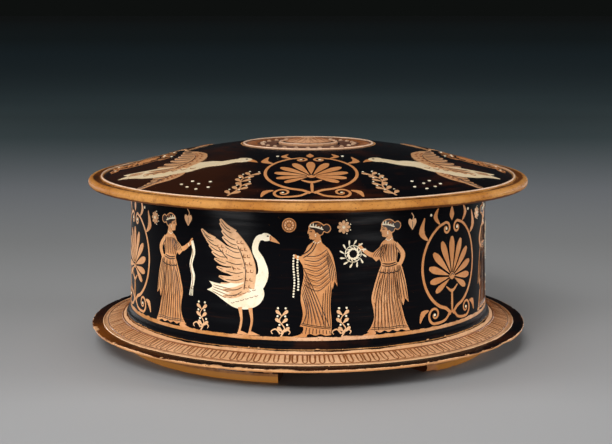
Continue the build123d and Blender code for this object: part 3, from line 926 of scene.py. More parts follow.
def drawGift(gift, x, y):
    if gift == "sash":
        cloth = [(0, 0.4), (1.0, -5.0), (-0.6, -11.0), (0.8, -17.0), (-0.2, -23.0)]
        shapes = [fill("white", strand(cloth, [1.4, 1.9, 1.7, 2.0, 1.5]))]
        for k in (-1, 0, 1):  # fringe
            shapes.append(stroke("white", [(-0.2 + k * 0.7, -22.8), (-0.6 + k * 0.9, -26.4)], 0.3))
        crease = [(-0.3, -2.0), (0.6, -6.0), (-0.8, -12.0), (0.6, -18.0), (-0.3, -22.6)]
        shapes.append(stroke("dilute", crease, 0.24))
    elif gift == "beads":
        shapes = [dots([(0.4 + 0.25 * math.sin(k * 0.5), -1.3 * k) for k in range(16)], 0.52)]
        shapes += [dots([(-1.5 + 0.25 * math.sin(k * 0.5), -0.6 - 1.3 * k) for k in range(13)], 0.52)]
    elif gift == "wreath":
        turns = [math.radians(30.0 * k) for k in range(12)]
        ring = [(3.0 + 3.9 * math.cos(a), -3.2 + 3.9 * math.sin(a)) for a in turns]
        shapes = [stroke("white", ring + ring[:1], 0.26)]
        for k, (px, py) in enumerate(ring):
            for lean in (-58, 58):  # a leaf on each side of the ring
                shapes += place([fill("white", petal(3.0, 0.85))], px, py, turn=30.0 * k + lean)
    elif gift == "casket":
        shapes = [fill("clay", [(-1.6, 0.6), (5.4, 0.6), (5.8, 6.4), (-2.0, 6.4)])]
        shapes += [stroke("line", [(-1.7, 0.6 + h), (5.6, 0.6 + h)], 0.34) for h in (0.9, 3.9, 4.8)]
        shapes += [stroke("line", [(-1.2 + 1.5 * k, 1.7), (0.0 + 1.5 * k, 4.3)], 0.24) for k in range(4)]
        shapes += [stroke("line", [(0.0 + 1.5 * k, 1.7), (-1.2 + 1.5 * k, 4.3)], 0.24) for k in range(4)]
        shapes += [dots([(-1.6 + 1.2 * k, 7.0) for k in range(7)], 0.42)]
    else:
        shapes = [fill("clay", strand([(-0.8, 2.2), (0.4, -18.8), (1.4, -38.4)], [0.8, 0.7, 0.7]))]
    return place(shapes, x, y)


# figure wrapped in a mantle, looking right

def drawMantle(gift):
    skirt = loop([(5.4, 7.0), (6.0, 3.4), (7.4, 1.3, 1), (5.0, 0.9), (2.8, 1.6), (0.4, 0.8), (-2.0, 1.5),
                  (-4.4, 0.7), (-7.0, 1.0, 1), (-6.4, 5.0), (-2.0, 7.0)])
    foot = loop([(4.4, 1.3), (6.4, 1.7), (8.6, 0.9), (10.6, 0.35), (10.4, 0.0), (5.0, 0.0)])
    tail = loop([(-4.6, 42.6), (-7.4, 39.4), (-9.0, 33.0), (-10.0, 24.0, 1), (-8.6, 26.6, 1),
                 (-7.8, 22.8, 1), (-6.6, 26.0, 1), (-5.4, 34.0)])
    body = loop([(1.6, 45.2), (3.8, 43.4), (5.2, 40.6), (6.9, 38.4), (7.6, 36.4), (6.2, 33.8), (5.8, 29.0),
                 (6.8, 23.4), (7.2, 17.6), (6.2, 11.6), (6.8, 7.4), (7.6, 5.2, 1), (4.2, 4.6), (0.4, 3.9),
                 (-3.6, 3.4), (-7.2, 3.0, 1), (-7.2, 8.4), (-6.7, 14.4), (-7.0, 20.4), (-7.5, 26.2),
                 (-7.2, 31.4), (-6.3, 36.4), (-5.7, 40.2), (-4.6, 43.0), (-2.6, 44.8), (-1.5, 46.0),
                 (0.6, 46.2)])
    hand = strand([(6.4, 37.4), (8.6, 37.8), (10.2, 38.8)], [2.2, 1.7, 1.3])
    shapes = drawGift(gift, 10.2, 38.8) if gift == "staff" else []
    shapes += [fill("clay", outline) for outline in (skirt, foot, tail, hand, body)]
    shapes += drawHead(-0.2, 46.0)
    shapes += folds(8, ((-5.2, 41.6), (-7.0, 27.0)), ((-0.4, 38.6), (-0.6, 22.0)),
                    ((5.6, 38.6), (6.2, 25.6)), 0.26)
    shapes += folds(7, ((6.0, 33.0), (6.6, 21.0)), ((0.0, 20.0), (4.6, 12.0)), ((-6.6, 4.0), (6.2, 6.2)),
                    0.26)
    shapes += folds(4, ((-6.9, 26.0), (-3.4, 21.0)), ((-6.2, 15.0), (-3.0, 13.0)),
                    ((-6.8, 4.6), (-3.4, 5.0)), 0.24)
    shapes += folds(7, ((-5.5, 40.4), (-6.9, 28.0)), ((-1.4, 37.4), (-1.6, 23.4)),
                    ((3.6, 37.4), (4.2, 25.6)), 0.16, "dilute")
    shapes += folds(6, ((5.6, 31.8), (6.2, 22.4)), ((0.8, 19.4), (4.4, 13.0)), ((-4.6, 5.2), (5.2, 6.6)),
                    0.16, "dilute")
    shapes += folds(4, ((-5.2, 41.0), (-4.8, 38.0)), ((-8.4, 33.0), (-6.0, 33.0)),
                    ((-9.5, 25.6), (-6.8, 26.8)), 0.26)
    shapes += folds(9, ((-6.3, 3.0), (6.0, 5.0)), ((-6.4, 2.2), (6.3, 3.3)), ((-6.6, 1.3), (6.6, 1.6)),
                    0.24)
    shapes.append(stroke("line", [(0.8, 45.2), (3.0, 41.6), (6.8, 38.9)], 0.4))  # rolled edge
    shapes.append(stroke("line", [(-0.4, 45.0), (2.0, 40.6), (6.2, 37.6)], 0.3))
    for lift in (0.8, 1.5):
        border = [(-7.1, 3.0 + lift), (-3.6, 3.4 + lift), (0.4, 3.9 + lift), (4.2, 4.6 + lift),
                  (7.2, 5.3 + lift)]
        shapes.append(stroke("line", border, 0.26))
    return shapes + (drawGift(gift, 10.0, 38.8) if gift != "staff" else [])


# water birds, standing and in flight

def drawWing(arm, feathers, angles, lengths, width):  # a row of long feathers under a scaled shoulder band
    line = flow(arm, steps=8)
    shapes = []
    shafts = []
    for k in range(feathers):
        t = k / (feathers - 1)
        x, y = line[round(t * (len(line) - 1))]
        a = math.radians(angles[0] + (angles[1] - angles[0]) * t)
        reach = lengths[0] + (lengths[1] - lengths[0]) * t ** 1.5
        middle = (x + reach * 0.55 * math.cos(a + 0.16), y + reach * 0.55 * math.sin(a + 0.16))
        tip = (x + reach * math.cos(a), y + reach * math.sin(a))
        vane = strand([(x, y), middle, tip], [width, width * 1.05, width * 0.85, width * 0.3], steps=6)
        shapes.append(fill("paleClay", vane))
        shaft = [between((x, y), middle, 0.5), middle, between(middle, tip, 0.86)]
        shafts.append(stroke("line", shaft, 0.26))
    shapes.append(fill("paleClay", strand(arm, [5.4, 5.6, 4.6, 2.0], steps=8)))
    shapes += shafts
    for row in (-1, 1):
        for x, y in line[1:-3:3]:
            scale = [(x + row - 0.7, y + 0.7), (x + row - 0.9, y - 0.5), (x + row + 0.5, y - 0.7)]
            shapes.append(stroke("dilute", scale, 0.28))
    c, s = math.cos(math.radians(angles[0])), math.sin(math.radians(angles[0]))
    shapes.append(stroke("line", [(x + 2.4 * c, y + 2.4 * s) for x, y in line[:-4:3]], 0.3))
    return shapes


def drawSwan():
    body = loop([(9.4, 23.4), (10.2, 19.4), (7.6, 15.0), (2.0, 12.4), (-4.4, 12.8), (-10.0, 15.6),
                 (-15.0, 18.6), (-19.4, 20.2, 1), (-16.4, 22.0), (-18.2, 24.4, 1), (-11.0, 23.6),
                 (-4.0, 25.2), (3.0, 28.6), (7.6, 28.0)])
    bend = [(5.2, 23.4), (9.6, 29.0), (8.6, 35.6), (5.8, 41.0), (7.4, 46.4), (11.4, 47.0)]
    neck = strand(bend, [9.0, 5.2, 3.8, 3.0, 2.8, 2.8])
    head = loop([(9.2, 48.6), (11.6, 49.0), (13.6, 47.8), (13.8, 46.4), (12.2, 45.4), (9.8, 45.6)])
    bill = loop([(13.0, 48.0), (15.6, 46.4), (17.6, 44.2, 1), (15.4, 44.8), (13.0, 45.6)])
    shapes = drawWing([(0.0, 25.0), (-3.6, 33.0), (-9.0, 39.4), (-15.0, 44.4)], feathers=9,
                      angles=(186, 150), lengths=(12.0, 9.0), width=2.7)
    shapes += [fill("white", body), fill("white", neck), fill("white", head), fill("clay", bill)]
    shapes += drawWing([(2.6, 22.6), (3.4, 32.0), (0.6, 41.0), (-4.2, 48.4)], feathers=11,
                       angles=(200, 142), lengths=(14.0, 10.0), width=2.9)
    for k in range(6):  # down of the breast
        for row in (0.0, 3.0):
            px, py = between((7.4, 19.4 + row), (-6.8, 14.6 + row), (k + row / 6) / 6)
            shapes.append(stroke("dilute", [(px, py), (px - 1.0, py - 0.5), (px - 2.0, py - 0.4)], 0.2))
    for k in range(4):  # tail
        quill = [(-9.0 + k, 17.0 + 1.5 * k), (-16.6 + 0.3 * k, 19.8 + 1.0 * k)]
        shapes.append(stroke("dilute", quill, 0.26))
    shapes.append(stroke("line", [(11.6, 47.7), (12.4, 47.6)], 0.5))
    shapes.append(stroke("dilute", [(13.2, 47.8), (13.5, 46.6), (13.0, 45.7)], 0.3))
    for x in (-1.8, 3.4):  # legs
        shapes.append(fill("clay", strand([(x, 13.2), (x + 0.8, 7.0), (x - 0.4, 1.2)], [2.0, 1.1, 1.0])))
        web = [(x - 1.2, 0.9, 1), (x + 0.4, 1.9), (x + 4.8, 0.3, 1), (x - 1.2, 0.0, 1)]
        shapes.append(fill("clay", loop(web)))
    return shapes


def drawFlyer():
    body = loop([(14.0, 3.6), (10.0, -2.0), (1.0, -5.6), (-8.0, -5.0), (-15.0, -2.2), (-22.0, -0.6, 1),
                 (-19.0, 1.8), (-22.4, 4.6, 1), (-13.0, 5.0), (-4.0, 6.4), (5.0, 8.4), (11.6, 8.4)])
    bend = [(7.0, 2.8), (13.6, 6.0), (19.0, 6.6), (23.4, 9.6), (26.4, 10.6)]
    head = loop([(24.0, 12.8), (27.0, 13.4), (29.6, 12.2), (29.8, 10.2), (27.6, 8.6), (24.8, 8.8)])
    bill = loop([(28.8, 12.4), (31.6, 10.8), (33.8, 8.4, 1), (31.2, 9.0), (28.8, 9.6)])
    shapes = drawWing([(4.6, 0.0), (6.0, -5.0), (4.0, -9.0), (0.0, -12.6)], feathers=8,
                      angles=(186, 222), lengths=(10.0, 7.0), width=2.4)
    neck = strand(bend, [11.0, 7.2, 5.0, 4.0, 4.0])
    shapes += [fill("white", body), fill("white", neck), fill("clay", bill), fill("white", head)]
    shapes += drawWing([(4.0, 3.0), (6.4, 12.0), (3.6, 21.0), (-2.4, 28.0)], feathers=11,
                       angles=(192, 140), lengths=(15.0, 10.0), width=3.0)
    for k in range(6):
        px, py = between((9.6, 1.0), (-9.0, -2.2), k / 5)
        shapes.append(stroke("dilute", [(px - 1.4, py + 0.9), (px, py - 0.5), (px + 1.4, py + 0.6)], 0.3))
    for k in range(3):
        shapes.append(stroke("dilute", [(-12.0, 0.4 + 1.1 * k), (-18.6, 0.8 + 1.1 * k)], 0.3))
    shapes.append(stroke("line", [(27.4, 11.5), (28.3, 11.4)], 0.6))
    return shapes


# palmettes, scrolls and sprays

def spiral(x, y, radius, start, turns):
    count = int(turns * 14)
    line = []
    for k in range(count + 1):
        r = radius * (1 - 0.86 * k / count)
        a = math.radians(start) + math.tau * turns * k / count
        line.append((x + r * math.cos(a), y + r * math.sin(a)))
    return line


def petal(length, width):
    side = [(0.28, 0.34), (0.5, 0.74), (0.26, 0.97)]
    left = [(-width * w, length * h) for w, h in side]
    right = [(width * w, length * h) for w, h in reversed(side)]
    return loop([(0.0, 0.0, 1)] + left + [(0.0, length)] + right, steps=3)


def drawFan(petals, length, width, spread):
    shapes = []
    for k in range(petals):
        t = k / (petals - 1) * 2 - 1
        leaf = petal(length * (1 - 0.34 * t * t), width * (1 - 0.25 * abs(t)))
        shapes += place(place([fill("clay", leaf)], y=2.2), turn=-t * spread)
    shapes.append(fill("clay", loop([(-2.2, 0.2), (0, 2.0), (2.2, 0.2), (0, -1.6)])))
    shapes.append(stroke("line", [(-1.5, 0.3), (0, 1.4), (1.5, 0.3)], 0.34))
    return shapes


def drawPalmette():
    turns = [math.radians(a) for a in range(12, 160, 14)]
    ring = [(21.0 * math.sin(a), 29.0 - 22.0 * math.cos(a)) for a in turns]
    hoop = [(0.8, 4.4)] + ring + spiral(4.4, 47.0, 3.2, 60, 1.25)
    low = [(1.0, 6.0), (5.0, 2.2), (10.0, 1.2)] + spiral(13.0, 5.6, 4.6, -110, 1.4)
    half = [fill("clay", strand(hoop, [1.7, 1.4, 1.3, 1.2, 1.0, 0.6], steps=3))]
    half.append(fill("clay", strand(low, [1.3, 1.3, 1.1, 0.9, 0.6], steps=3)))
    half.append(fill("clay", strand([(17.2, 8.2), (20.8, 7.0), (22.6, 2.6)], [0.6, 3.0, 0.4])))
    half.append(fill("clay", strand([(17.6, 42.6), (21.4, 46.6), (19.6, 53.6)], [0.6, 3.6, 0.4])))
    half.append(fill("clay", strand([(9.4, 49.6), (12.4, 53.4), (10.4, 57.4)], [0.6, 2.8, 0.4])))
    half.append(dots([(13.0, 5.6), (4.4, 47.0), (15.4, 54.6)], 0.75))
    shapes = half + place(half, flip=True) + place(drawFan(11, 17.6, 4.2, 118), 0, 23.0)
    shapes.append(fill("clay", strand([(-4.6, 18.4), (0, 15.8), (4.6, 18.4)], [0.5, 1.6, 0.5])))
    shapes.append(fill("clay", strand([(0, 16.0), (0, 11.0), (0, 5.0)], [0.8, 1.4, 0.9])))
    shapes.append(fill("clay", loop([(0, 58.0, 1), (1.8, 53.6), (0, 50.6, 1), (-1.8, 53.6)])))
    return shapes


def drawSpray(length, leaves):
    stem = [(0.0, 0.0), (2.2, length * 0.35), (-0.6, length * 0.7), (1.8, length)]
    shapes = [fill("paleClay", strand(stem, [0.8, 0.6, 0.4]))]
    line = flow(stem, steps=12)
    for k in range(leaves):
        x, y = line[int((k + 0.6) / leaves * (len(line) - 1))]
        for side in (-1, 1):
            shapes += place([fill("paleClay", petal(4.4, 1.9))], x, y, turn=-side * 48)
            shapes.append(dots([(x + side * 2.1, y + 4.2)], 0.55))
    return shapes


# small ornaments that fill the dark field

def circle(radius, count=20):
    turns = [math.tau * k / count for k in range(count)]
    return [(radius * math.cos(a), radius * math.sin(a)) for a in turns]


def drawRosette():
    shapes = []
    for k in range(8):
        shapes += place([fill("paleClay", petal(3.1, 1.5))], turn=45 * k)
    beads = [(3.5 * math.sin(a), 3.5 * math.cos(a)) for a in (0.4, 1.2, 2.0, 2.7)]
    return shapes + [dots([(0, 0)], 0.8), dots(beads, 0.32)]


def drawIvy():
    leaf = loop([(0, -3.4, 1), (2.3, 0.0), (1.7, 2.1), (0, 1.1, 1), (-1.7, 2.1), (-2.3, 0.0)])
    stem = strand([(0, 1.1), (0.7, 3.0), (-0.5, 4.8)], [0.6, 0.45, 0.3])
    vein = stroke("line", [(0, -2.4), (0.1, -0.8), (0, 0.8)], 0.18)
    return [fill("paleClay", stem), fill("paleClay", leaf), vein]


def drawDish():
    rings = [stroke("line", circle(r) + circle(r)[:1], 0.2) for r in (2.7, 1.1)]
    return [fill("clay", circle(3.4))] + rings + [dots(circle(1.9, 10), 0.26)]


def drawPlant():
    shapes = place(drawSpray(13.0, 3), scale=0.86)
    for side in (-1, 1):
        curl = [(0.2 * side, 1.4), (2.2 * side, 3.6), (4.4 * side, 2.6), (3.8 * side, 1.2)]
        shapes.append(fill("paleClay", strand(curl, [0.8, 0.7, 0.5, 0.3])))
    return shapes


# paint on the pot: flat motifs are cut into thin sheets, laid in order and bent on to the clay

paintLook = dict(
    step=0.016,  # rise from one layer of paint to the next, in mm
    first=0.05,
    sink=0.2,  # how far a sheet's underside lies in the clay
    threadSides=6,
    weight=1.5,  # how much heavier than drawn a stroke is laid
    taper={0: 0.45, 1: 0.85},  # share of the width at a stroke's last point and the one before
    dotRise=0.4,
)


def boxOf(points):
    xs = [p[0] for p in points]
    ys = [p[1] for p in points]
    return min(xs), min(ys), max(xs), max(ys)


def apart(a, b):
    return a[2] < b[0] or b[2] < a[0] or a[3] < b[1] or b[3] < a[1]


def inside(spot, outline):
    x, y = spot[:2]
    hit = False
    for (ax, ay), (bx, by) in zip(outline, outline[-1:] + outline[:-1]):
        if (ay > y) != (by > y) and x < (bx - ax) * (y - ay) / (by - ay) + ax:
            hit = not hit
    return hit


def cutSheet(outline, grid):  # flat triangles of an outline, with points inside it so that it can bend
    left, low, right, high = boxOf(outline)
    spots = [Vector(p[:2]) for p in outline]
    for column in range(int((right - left) / grid[0])):
        for row in range(int((high - low) / grid[1])):
            spot = (left + (column + 0.5) * grid[0], low + (row + 0.5) * grid[1])
            if inside(spot, outline):
                spots.append(Vector(spot))
    edges = [(k, (k + 1) % len(outline)) for k in range(len(outline))]
    verts, _, faces, *_ = delaunay_2d_cdt(spots, edges, [], 1, 1e-5)
    return [tuple(v) for v in verts], [list(face) for face in faces]


def layMotif(shapes, grid):  # works out once, per motif, what lies over what
    sheets = []
    for index, shape in enumerate(shapes):
        if "fill" not in shape:
            continue
        box = boxOf(shape["fill"])
        level = 1 + max([s["level"] for s in sheets if not apart(s["box"], box)], default=0)
        verts, faces = cutSheet(shape["fill"], grid)
        sheets.append(dict(index=index, box=box, level=level, outline=shape["fill"], paint=shape["paint"],
                           verts=verts, faces=faces))

    def topSheet(spot, index):  # the highest sheet under a spot, or None where later paint hides it
        spotBox = (spot[0], spot[1], spot[0], spot[1])
        over = [s for s in sheets if not apart(s["box"], spotBox) and inside(spot, s["outline"])]
        if any(s["index"] > index for s in over):
            return None
        return max([s["level"] for s in over], default=0)

    threads = []
    drops = []
    for index, shape in enumerate(shapes):
        run = []
        for spot in shape.get("stroke", []) + [None]:
            level = topSheet(spot, index) if spot else None
            if level is None or (level == 0 and shape["paint"] in ("line", "dilute")):
                if len(run) > 2:
                    threads.append(dict(paint=shape["paint"], run=run, width=shape["width"]))
                run = []
            else:
                run.append((*spot, level))
        for x, y, size in shape.get("dots", []):
            level = topSheet((x, y), index)
            if level is not None:
                drops.append((x, y, size, level))
    return dict(sheets=sheets, threads=threads, drops=drops)


def liftOf(level):
    return paintLook["first"] + paintLook["step"] * level


def addSheet(tray, sheet, put, tone):
    base = len(tray["verts"])
    count = len(sheet["verts"])
    tray["verts"] += [put(x, y, liftOf(sheet["level"])) for x, y in sheet["verts"]]
    tray["verts"] += [put(x, y, -paintLook["sink"]) for x, y in sheet["verts"]]
    tray["tones"] += [tone] * (2 * count)
    sides = set()
    for face in sheet["faces"]:
        tray["faces"].append([base + v for v in face])
        tray["faces"].append([base + count + v for v in reversed(face)])
        sides.update(zip(face, face[1:] + face[:1]))
    for a, b in sides:
        if (b, a) not in sides:
            tray["faces"].append([base + b, base + a, base + count + a, base + count + b])


def addThread(tray, thread, put):
    base = len(tray["verts"])
    run = thread["run"]
    for number, (x, y, level) in enumerate(run):
        tray["verts"].append(put(x, y, liftOf(level)))
        taper = paintLook["taper"].get(min(number, len(run) - 1 - number), 1.0)
        tray["sizes"].append(paintLook["weight"] * thread["width"] / 2 * taper * mm)
    tray["edges"] += [(base + k, base + k + 1) for k in range(len(run) - 1)]


# geometry node groups: lines to threads, points to drops, one stroke to a ring of strokes

def geometryTree(name, **inputs):
    tree = bpy.data.node_groups.new(name, "GeometryNodeTree")
    tree.interface.new_socket("Geometry", in_out="INPUT", socket_type="NodeSocketGeometry")
    keys = {}
    for label, kind in inputs.items():
        socket = tree.interface.new_socket(label, in_out="INPUT", socket_type="NodeSocket" + kind)
        keys[label] = socket.identifier
    tree.interface.new_socket("Geometry", in_out="OUTPUT", socket_type="NodeSocketGeometry")
    return tree, keys, tree.nodes.new("NodeGroupInput"), tree.nodes.new("NodeGroupOutput")


def namedValue(tree, name, kind="FLOAT"):
    node = tree.nodes.new("GeometryNodeInputNamedAttribute")
    node.data_type = kind
    node.inputs["Name"].default_value = name
    return node.outputs["Attribute"]


def closeTree(tree, geometry, start, end):  # every group ends in plain mesh with its material
    real = tree.nodes.new("GeometryNodeRealizeInstances")
    coat = tree.nodes.new("GeometryNodeSetMaterial")
    tree.links.new(geometry, real.inputs["Geometry"])
    tree.links.new(real.outputs["Geometry"], coat.inputs["Geometry"])
    tree.links.new(start.outputs["Material"], coat.inputs["Material"])
    tree.links.new(coat.outputs["Geometry"], end.inputs["Geometry"])


def threadNodes(tree, lines, sides):
    curve = tree.nodes.new("GeometryNodeMeshToCurve")
    ring = tree.nodes.new("GeometryNodeCurvePrimitiveCircle")
    ring.inputs["Radius"].default_value = 1.0
    tube = tree.nodes.new("GeometryNodeCurveToMesh")
    tube.inputs["Fill Caps"].default_value = True
    tree.links.new(sides, ring.inputs["Resolution"])
    tree.links.new(lines, curve.inputs["Mesh"])
    tree.links.new(curve.outputs["Curve"], tube.inputs["Curve"])
    tree.links.new(ring.outputs["Curve"], tube.inputs["Profile Curve"])
    tree.links.new(namedValue(tree, "thickness"), tube.inputs["Scale"])
    return tube.outputs["Mesh"]


def threadTree():
    tree, keys, start, end = geometryTree("slipThread", Sides="Int", Material="Material")
    closeTree(tree, threadNodes(tree, start.outputs["Geometry"], start.outputs["Sides"]), start, end)
    return tree, keys


def ringTree():  # turns the drawn strokes round the axis, each copy a little out of true
    tree, keys, start, end = geometryTree("strokeRing", Count="Int", Jitter="Float", Seed="Int",
                                          Sides="Int", Material="Material")
    points = tree.nodes.new("GeometryNodePoints")
    index = tree.nodes.new("GeometryNodeInputIndex")
    share = tree.nodes.new("ShaderNodeMath")
    share.operation = "DIVIDE"
    turn = tree.nodes.new("ShaderNodeMath")
    turn.operation = "MULTIPLY_ADD"
    turn.inputs[1].default_value = math.tau
    stray = tree.nodes.new("FunctionNodeRandomValue")
    stray.data_type = "FLOAT"
    below = tree.nodes.new("ShaderNodeMath")
    below.operation = "MULTIPLY"
    below.inputs[1].default_value = -1.0
    euler = tree.nodes.new("ShaderNodeCombineXYZ")
    spin = tree.nodes.new("FunctionNodeEulerToRotation")
    copies = tree.nodes.new("GeometryNodeInstanceOnPoints")
    real = tree.nodes.new("GeometryNodeRealizeInstances")
    tree.links.new(start.outputs["Count"], points.inputs["Count"])
    tree.links.new(index.outputs[0], share.inputs[0])
    tree.links.new(start.outputs["Count"], share.inputs[1])
    tree.links.new(start.outputs["Jitter"], below.inputs[0])
    tree.links.new(below.outputs[0], stray.inputs[2])
    tree.links.new(start.outputs["Jitter"], stray.inputs[3])
    tree.links.new(start.outputs["Seed"], stray.inputs["Seed"])
    tree.links.new(share.outputs[0], turn.inputs[0])
    tree.links.new(stray.outputs[1], turn.inputs[2])
    tree.links.new(turn.outputs[0], euler.inputs["Z"])
    tree.links.new(euler.outputs[0], spin.inputs[0])
    tree.links.new(points.outputs[0], copies.inputs["Points"])
    tree.links.new(start.outputs["Geometry"], copies.inputs["Instance"])
    tree.links.new(spin.outputs[0], copies.inputs["Rotation"])
    tree.links.new(copies.outputs[0], real.inputs[0])
    closeTree(tree, threadNodes(tree, real.outputs[0], start.outputs["Sides"]), start, end)
    return tree, keys


def dropTree():  # a round drop of slip on each point
    tree, keys, start, end = geometryTree("slipDrop", Round="Int", Rows="Int", Material="Material")
    points = tree.nodes.new("GeometryNodeMeshToPoints")
    ball = tree.nodes.new("GeometryNodeMeshUVSphere")
    ball.inputs["Radius"].default_value = 1.0
    copies = tree.nodes.new("GeometryNodeInstanceOnPoints")
    size = tree.nodes.new("ShaderNodeCombineXYZ")
    upright = tree.nodes.new("FunctionNodeAlignRotationToVector")
    upright.axis = "Z"
    tree.links.new(namedValue(tree, "outward", "FLOAT_VECTOR"), upright.inputs["Vector"])
    tree.links.new(upright.outputs["Rotation"], copies.inputs["Rotation"])
    tree.links.new(start.outputs["Round"], ball.inputs["Segments"])
    tree.links.new(start.outputs["Rows"], ball.inputs["Rings"])
    tree.links.new(start.outputs["Geometry"], points.inputs["Mesh"])
    tree.links.new(points.outputs[0], copies.inputs["Points"])
    tree.links.new(ball.outputs["Mesh"], copies.inputs["Instance"])
    tree.links.new(namedValue(tree, "thickness"), size.inputs["X"])
    tree.links.new(namedValue(tree, "thickness"), size.inputs["Y"])
    tree.links.new(namedValue(tree, "tall"), size.inputs["Z"])
    tree.links.new(size.outputs[0], copies.inputs["Scale"])
    closeTree(tree, copies.outputs[0], start, end)
    return tree, keys


def growPiece(name, verts, edges, values, group, **settings):  # runs a node group, keeps a plain mesh
    mesh = bpy.data.meshes.new(name + "Lines")
    mesh.from_pydata(verts, edges, [])
    for label, row in values.items():
        if isinstance(row[0], tuple):
            flat = [part for vector in row for part in vector]
            mesh.attributes.new(label, "FLOAT_VECTOR", "POINT").data.foreach_set("vector", flat)
        else:
            mesh.attributes.new(label, "FLOAT", "POINT").data.foreach_set("value", row)
    source = bpy.data.objects.new(name + "Lines", mesh)
    bpy.context.scene.collection.objects.link(source)
    tree, keys = group
    modifier = source.modifiers.new("grow", "NODES")
    modifier.node_group = tree
    for label, value in settings.items():
        modifier[keys[label]] = value
    grownUp = source.evaluated_get(bpy.context.evaluated_depsgraph_get())
    plain = bpy.data.meshes.new_from_object(grownUp)
    source.modifiers.remove(modifier)
    bpy.data.objects.remove(source)
    bpy.data.meshes.remove(mesh)
    return finishMesh(name, plain)


threadGroup = threadTree()
ringGroup = ringTree()
dropGroup = dropTree()

# paints, each with its own wear

paintSlots = dict(clay="orange_clay", paleClay="orange_clay", white="cream_slip", hair="black_gloss",
                  line="black_gloss", dilute="black_gloss", pale="cream_slip", pellet="cream_slip")


def paintMaterial(name, light, main, deep, speck, lost, rough, lostShare=0.66, speckShare=0.64):
    material, tree, shader = newMaterial(name)
    point = objectPoint(tree)
    cloud = grain(tree, point, 90.0, 4.0, 0.6)
    brush = grain(tree, point, 420.0, 3.0, 0.6)
    fine = grain(tree, point, 1500.0, 2.0, 0.6)
    flake = grain(tree, point, 260.0, 6.0, 0.68)
    colour = mixColour(tree, ramp(tree, cloud, 0.34, 0.68), main, light)
    colour = mixColour(tree, ramp(tree, attribute(tree, "tone"), 0.0, 1.4, 0.0, 0.7), colour, deep)
    colour = mixColour(tree, ramp(tree, brush, 0.5, 0.78, 0.0, 0.55), colour, deep)
    colour = mixColour(tree, ramp(tree, fine, speckShare, speckShare + 0.12, 0.0, 0.6), colour, speck)
    bare = ramp(tree, flake, lostShare, lostShare + 0.03)
    tree.links.new(mixColour(tree, bare, colour, lost), shader.inputs["Base Color"])
    tree.links.new(ramp(tree, brush, 0.2, 0.8, rough - 0.08, rough + 0.12), shader.inputs["Roughness"])
    shader.inputs["Specular IOR Level"].default_value = 0.28
    relief = math2(tree, "SUBTRACT", math2(tree, "MULTIPLY", fine, 0.4), math2(tree, "MULTIPLY", bare, 0.5))
    addBump(tree, shader, relief, 0.4, 0.0001)
    return material


paints = dict(
    clay=paintMaterial("figureClay", srgb(228, 168, 114), srgb(208, 144, 90), srgb(184, 110, 50),
                       srgb(92, 50, 24), srgb(60, 36, 24), 0.5, 0.7, 0.64),
    paleClay=paintMaterial("wingClay", srgb(238, 190, 144), srgb(220, 168, 120), srgb(184, 128, 82),
                           srgb(110, 66, 38), srgb(70, 44, 30), 0.48, 0.7),
    white=paintMaterial("addedWhite", srgb(250, 240, 214), srgb(240, 224, 190), srgb(212, 182, 136),
                        srgb(150, 116, 78), srgb(126, 88, 56), 0.6, 0.67, 0.67),
    hair=paintMaterial("hairGloss", srgb(46, 26, 16), srgb(30, 18, 14), srgb(20, 13, 12), srgb(70, 42, 26),
                       srgb(120, 76, 46), 0.34, 0.74),
    line=paintMaterial("reliefLine", srgb(54, 30, 18), srgb(34, 20, 14), srgb(22, 14, 12), srgb(90, 54, 32),
                       srgb(128, 80, 46), 0.34, 0.72),
    pale=paintMaterial("paleLine", srgb(236, 202, 172), srgb(222, 182, 148), srgb(186, 140, 104),
                       srgb(104, 66, 42), srgb(90, 56, 36), 0.5, 0.68, 0.6),
    pellet=paintMaterial("pelletClay", srgb(214, 178, 146), srgb(188, 146, 112), srgb(146, 100, 72),
                         srgb(90, 56, 38), srgb(96, 60, 42), 0.5, 0.66, 0.6),
    dilute=paintMaterial("thinnedSlip", srgb(152, 90, 42), srgb(126, 70, 28), srgb(96, 50, 18),
                         srgb(72, 38, 16), srgb(176, 122, 74), 0.42, 0.74),
)


def emptyTrays():
    return {paint: dict(sheet=dict(verts=[], faces=[], tones=[]), thread=dict(verts=[], edges=[], sizes=[]))
            for paint in paints}


def layDown(trays, drops, motif, put, tone):
    for sheet in motif["sheets"]:
        addSheet(trays[sheet["paint"]]["sheet"], sheet, put, tone)
    for thread in motif["threads"]:
        addThread(trays[thread["paint"]]["thread"], thread, put)
    for x, y, size, level in motif["drops"]:
        spot, over = put(x, y, liftOf(level)), put(x, y, liftOf(level) + 1.0)
        drops.append((spot, size, tuple((b - a) / mm for a, b in zip(spot, over))))


def makePaint(prefix, body, trays, drops):  # one piece for each paint and kind
    for paint, kinds in trays.items():
        title = prefix + paint[0].upper() + paint[1:]
        sheet = kinds["sheet"]
        if sheet["faces"]:
            mesh = bpy.data.meshes.new(title + "Field")
            mesh.from_pydata(sheet["verts"], [], sheet["faces"])
            mesh.attributes.new("tone", "FLOAT", "POINT").data.foreach_set("value", sheet["tones"])
            settle(finishMesh(title + "Field", mesh), body, paints[paint], paintSlots[paint])
        thread = kinds["thread"]
        if thread["edges"]:
            piece = growPiece(title + "Stroke", thread["verts"], thread["edges"],
                              dict(thickness=thread["sizes"]), threadGroup, Sides=paintLook["threadSides"],
                              Material=paints[paint])
            settle(piece, body, paints[paint], paintSlots[paint])
    if drops:
        spots, sizes, outward = zip(*drops)
        values = dict(thickness=[size * mm for size in sizes], outward=outward)
        values["tall"] = [size * paintLook["dotRise"] * mm for size in sizes]
        piece = growPiece(prefix + "Dots", spots, [], values, dropGroup, Round=8, Rows=5,
                          Material=paints["white"])
        settle(piece, body, paints["white"], "cream_slip")


# frieze round the wall

